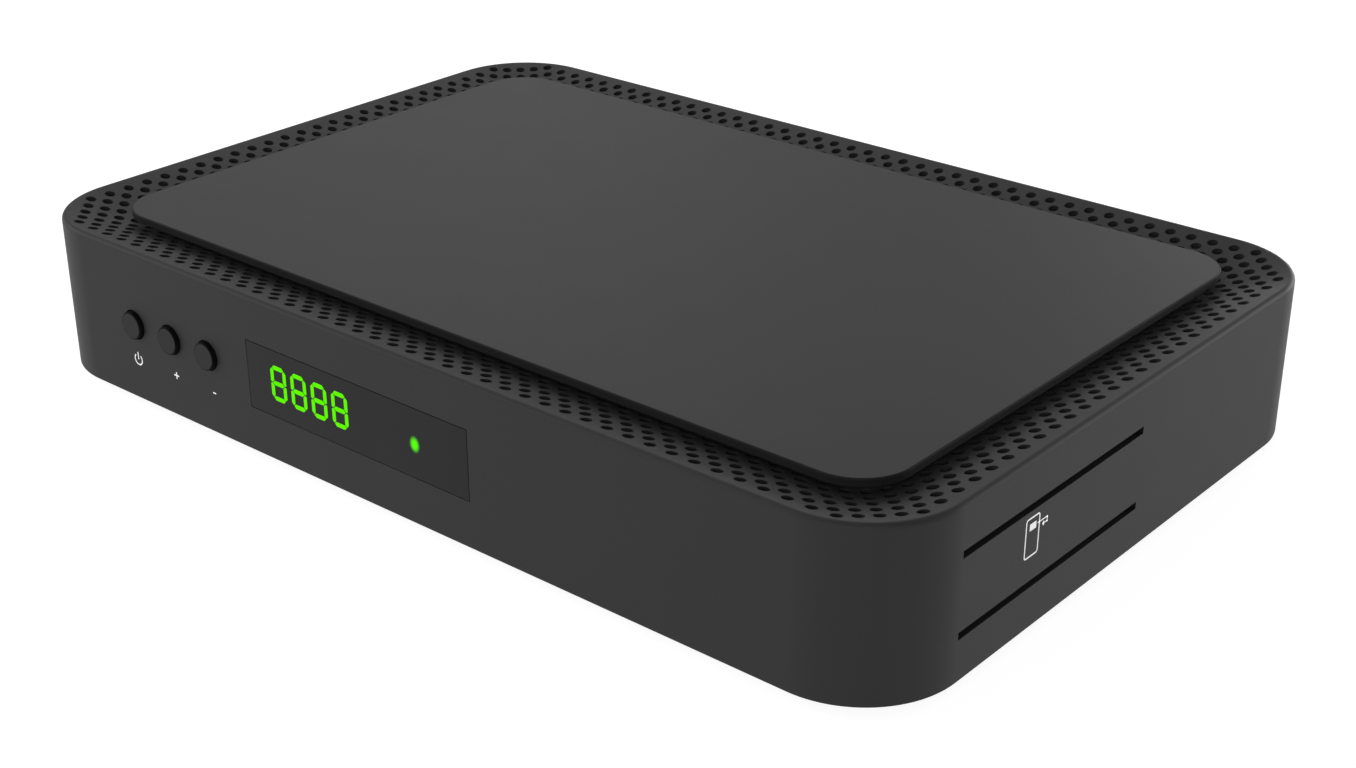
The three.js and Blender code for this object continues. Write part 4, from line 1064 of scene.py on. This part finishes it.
def make_case_screw(number):
    """A pan head screw with a cross recess, seen from below."""
    shape = Shape()
    node = f"case_screw_{number}"
    low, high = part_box(node)
    x = (low.x + high.x) / 2 / MM
    y = ((low.y + high.y) / 2 - CASE_MIDDLE_Y) / MM
    shape.place = Matrix(((1, 0, 0, x), (0, -1, 0, y), (0, 0, -1, low.z / MM), (0, 0, 0, 1)))
    top = SCREW_HEAD_RADIUS - SCREW_HEAD_EDGE
    side = through([
        (0, -SCREW_LENGTH),
        (SCREW_RADIUS, -SCREW_LENGTH),
        (SCREW_RADIUS, -SCREW_HEAD_HEIGHT),
        (SCREW_HEAD_RADIUS, -SCREW_HEAD_HEIGHT),
        (SCREW_HEAD_RADIUS, -SCREW_HEAD_EDGE),
    ])
    edge = rounded(-top, -SCREW_HEAD_EDGE, SCREW_HEAD_EDGE, 0, QUARTER_TURN)
    turned(shape, 0, 0, [*side, (edge, 0)])
    long, half = CROSS_REACH, CROSS_HALF_WIDTH
    cross = [
        (half, half), (half, long), (-half, long), (-half, half), (-long, half), (-long, -half),
        (-half, -half), (-half, -long), (half, -long), (half, -half), (long, -half), (long, half),
    ]
    wall_face(shape, triangulate(places_of(circle(top, ROUND_SIDES)), [cross]), 0, True)
    wall_face(shape, triangulate(cross), -CROSS_DEPTH, True)
    hole_wall(shape, cross, -CROSS_DEPTH, 0)
    return add_piece(shape, node + "_pan", "receiver", [ZINC], (node,))


# Digits, the light of the status LED, and the printed marks

def top_segment():
    """The top bar of a digit, from its cell's lower left corner."""
    shift = DIGIT_GAP / (2 * math.sqrt(2))
    half = DIGIT_CHAMFER / 2
    inner = DIGIT_STROKE + 2 * shift
    top = DIGIT_HEIGHT
    return [
        (inner, top - DIGIT_STROKE),
        (DIGIT_WIDTH - inner, top - DIGIT_STROKE),
        (DIGIT_WIDTH - half - shift, top - half + shift),
        (DIGIT_WIDTH - DIGIT_CHAMFER, top),
        (DIGIT_CHAMFER, top),
        (half + shift, top - half + shift),
    ]


def side_segment():
    """The upper left bar of a digit."""
    shift = DIGIT_GAP / (2 * math.sqrt(2))
    half = DIGIT_CHAMFER / 2
    top = DIGIT_HEIGHT
    middle = top / 2
    return [
        (0, top - DIGIT_CHAMFER),
        (0, middle + DIGIT_SHORTENED),
        (DIGIT_STROKE / 2, middle + DIGIT_GAP / 2),
        (DIGIT_STROKE, middle + DIGIT_STROKE / 2 + DIGIT_GAP),
        (DIGIT_STROKE, top - DIGIT_STROKE - 2 * shift),
        (half - shift, top - half - shift),
    ]


def middle_segment():
    middle = DIGIT_HEIGHT / 2
    half = DIGIT_STROKE / 2
    tip = half + DIGIT_GAP
    return [
        (tip, middle),
        (tip + half, middle - half),
        (DIGIT_WIDTH - tip - half, middle - half),
        (DIGIT_WIDTH - tip, middle),
        (DIGIT_WIDTH - tip - half, middle + half),
        (tip + half, middle + half),
    ]


def across(segment):
    return [(DIGIT_WIDTH - x, y) for x, y in segment][::-1]


def below(segment):
    return [(x, DIGIT_HEIGHT - y) for x, y in segment][::-1]


def make_digits():
    shape = Shape()
    shape.place = FRONT_WALL
    top, side = top_segment(), side_segment()
    segments = [top, side, middle_segment(), across(side), below(top), below(side), below(across(side))]
    for number in range(DIGIT_COUNT):
        left = DIGIT_LEFT + number * DIGIT_PITCH
        for segment in segments:
            inlay(shape, [(left + x, DIGIT_BOTTOM + y) for x, y in segment])
    return add_piece(shape, "lit_digits", "receiver", [SEGMENT])


def make_glow():
    shape = Shape()
    shape.place = FRONT_WALL
    spot = [
        (x, GLOW_LEVEL + (y - GLOW_LEVEL) * GLOW_STRETCH)
        for x, y, _, _ in circle(GLOW_RADIUS, GLOW_SIDES, GLOW_X, GLOW_LEVEL)
    ]
    inlay(shape, spot)
    middle = FRONT_WALL @ Vector((GLOW_X, GLOW_LEVEL, INK_HEIGHT)) * MM + Vector((0, CASE_MIDDLE_Y, 0))
    light = glow_spot("led_glow", WINDOW, GLOW_COLOUR, GLOW_STRENGTH, middle, GLOW_RADIUS, GLOW_STRETCH)
    return add_piece(shape, "led_light", "receiver", [light])


def stroke(shape, start, end, width=LINE_WIDTH):
    """A straight printed line with square ends."""
    along = (Vector(end) - Vector(start)).normalized() * width / 2
    side = Vector((-along.y, along.x))
    start, end = Vector(start) - along, Vector(end) + along
    corners = [start - side, end - side, end + side, start + side]
    inlay(shape, [tuple(corner) for corner in corners])


def line_sides(points):
    """Both sides of a printed line through points that carry their outward directions."""
    half = LINE_WIDTH / 2
    outside = [(x + half * out_x, y + half * out_y) for x, y, out_x, out_y in points]
    inside = [(x - half * out_x, y - half * out_y) for x, y, out_x, out_y in points]
    return outside, inside


def make_front_marks():
    shape = Shape()
    shape.place = FRONT_WALL
    x, y = POWER_MARK
    start = QUARTER_TURN + POWER_MARK_GAP
    end = QUARTER_TURN + 2 * math.pi - POWER_MARK_GAP
    outside, inside = line_sides(arc(x, y, POWER_MARK_RADIUS, start, end, POWER_MARK_STEPS))
    inlay(shape, outside + inside[::-1])
    stroke(shape, (x, y + POWER_BAR_BOTTOM), (x, y + POWER_BAR_TOP))
    x, y = PLUS_MARK
    stroke(shape, (x - SIGN_REACH, y), (x + SIGN_REACH, y))
    stroke(shape, (x, y - SIGN_REACH), (x, y - LINE_WIDTH))
    stroke(shape, (x, y + LINE_WIDTH), (x, y + SIGN_REACH))
    x, y = MINUS_MARK
    stroke(shape, (x - MINUS_REACH, y), (x + MINUS_REACH, y))
    return add_piece(shape, "front_marks", "receiver", [INK_WITH_PAINTED_GLOW])


def make_card_mark():
    """A card with its chip, and an arrow that turns it over."""
    shape = Shape()
    shape.place = RIGHT_WALL
    left, right, bottom, top = CARD_MARK
    corner = CARD_MARK_CORNER
    outline = []
    middles = [(right - corner, top - corner), (left + corner, top - corner)]
    middles += [(left + corner, bottom + corner), (right - corner, bottom + corner)]
    for quarter, (x, y) in enumerate(middles):
        start = quarter * QUARTER_TURN
        outline += arc(x, y, corner, start, start + QUARTER_TURN, EDGE_STEPS)
    outside, inside = line_sides(outline)
    prism(shape, outside, 0, INK_HEIGHT, holes=[inside])
    inlay(shape, rectangle(*CHIP_MARK))
    for start, end in zip(ARROW_MARK, ARROW_MARK[1:]):
        stroke(shape, start, end, ARROW_WIDTH)
    x, y = ARROW_MARK[-1]
    head = [(x - ARROW_HEAD, y), (x, y - ARROW_HEAD), (x, y + ARROW_HEAD)]
    inlay(shape, head)
    return add_piece(shape, "card_mark", "receiver", [INK_WITH_PAINTED_GLOW])


# Floor, light and camera

def white_when_seen(material, target, strength):
    """White for the camera and in gloss and glass, at a strength that adds no light to the object."""
    path = add_node(material, "ShaderNodeLightPath")
    either = add_node(material, "ShaderNodeMath", operation="MAXIMUM")
    seen = add_node(material, "ShaderNodeMath", operation="MAXIMUM")
    level = add_node(material, "ShaderNodeMath", operation="MULTIPLY")
    link(material, path.outputs["Is Camera Ray"], either.inputs[0])
    link(material, path.outputs["Is Glossy Ray"], either.inputs[1])
    link(material, either.outputs[0], seen.inputs[0])
    link(material, path.outputs["Is Transmission Ray"], seen.inputs[1])
    link(material, seen.outputs[0], level.inputs[0])
    level.inputs[1].default_value = strength
    link(material, level.outputs[0], target)


def make_floor():
    mesh = bpy.data.meshes.new("floor")
    corners = [(x, y, 0) for x, y in rectangle(-FLOOR_REACH, FLOOR_REACH, -FLOOR_REACH, FLOOR_REACH)]
    mesh.from_pydata(corners, [], [range(len(corners))])
    floor = bpy.data.objects.new("floor", mesh)
    bpy.context.scene.collection.objects.link(floor)
    material = bpy.data.materials.new("white_floor")
    material.use_nodes = True
    shader = material.node_tree.nodes["Principled BSDF"]
    shader.inputs["Base Color"].default_value = FLOOR_COLOUR
    shader.inputs["Roughness"].default_value = 1
    shader.inputs["Specular IOR Level"].default_value = 0
    shader.inputs["Emission Color"].default_value = (1, 1, 1, 1)
    white_when_seen(material, shader.inputs["Emission Strength"], FLOOR_WHITE)
    mesh.materials.append(material)


def make_world():
    world = bpy.data.worlds.new("studio")
    bpy.context.scene.world = world
    world.use_nodes = True
    light = world.node_tree.nodes["Background"]
    light.name = "light"
    light.inputs["Color"].default_value = (1, 1, 1, 1)
    light.inputs["Strength"].default_value = WORLD_LIGHT


def way_to(azimuth, elevation):
    """The direction of a place from the object. Azimuth 0 is the front and 90 is the right."""
    turn = math.radians(azimuth)
    rise = math.radians(elevation)
    level = math.cos(rise)
    return Vector((math.sin(turn) * level, -math.cos(turn) * level, math.sin(rise)))


def make_lamp(name, azimuth, elevation, distance, width, height, power):
    """A soft lamp that faces the object."""
    lamp = bpy.data.lights.new(name, "AREA")
    lamp.shape = "RECTANGLE"
    lamp.size = width
    lamp.size_y = height
    lamp.energy = power
    piece = bpy.data.objects.new(name, lamp)
    way = way_to(azimuth, elevation)
    piece.location = way * distance
    piece.rotation_euler = way.to_track_quat("Z", "Y").to_euler()
    bpy.context.scene.collection.objects.link(piece)


def make_camera():
    azimuth = math.radians(CAMERA_AZIMUTH)
    roll = math.radians(CAMERA_ROLL)
    back = way_to(CAMERA_AZIMUTH, CAMERA_ELEVATION)
    right = Vector((math.cos(azimuth), math.sin(azimuth), 0))
    up = back.cross(right)
    rolled_right = right * math.cos(roll) + up * math.sin(roll)
    rolled_up = up * math.cos(roll) - right * math.sin(roll)
    data = bpy.data.cameras.new("camera")
    data.lens = CAMERA_LENS
    data.sensor_width = CAMERA_SENSOR
    data.sensor_fit = "HORIZONTAL"
    data.clip_start = CAMERA_NEAREST
    camera = bpy.data.objects.new("camera", data)
    turn = Matrix((rolled_right, rolled_up, back)).transposed().to_4x4()
    camera.matrix_world = Matrix.Translation(Vector(CAMERA_PLACE) * MM) @ turn
    bpy.context.scene.collection.objects.link(camera)
    bpy.context.scene.camera = camera


def make_object():
    dress_cad_nodes()
    make_case()
    make_plate()
    for node, x in BUTTON_PLACES.items():
        make_button(node, x)
    for side_x, sign_x in (("left", -1), ("right", 1)):
        for side_y, sign_y in (("front", -1), ("rear", 1)):
            make_foot(side_x, side_y, sign_x, sign_y)
    make_rear_panel()
    make_lnb_input()
    make_av_jack()
    make_dc_inlet()
    make_plug_contacts()
    for number in range(1, CASE_SCREWS + 1):
        make_case_screw(number)
    make_digits()
    make_glow()
    make_front_marks()
    make_card_mark()


def make_studio():
    make_floor()
    make_world()
    for name, values in LAMPS.items():
        make_lamp(name, *values)
    make_camera()
    bpy.context.scene.view_settings.view_transform = "Standard"


make_object()
make_studio()
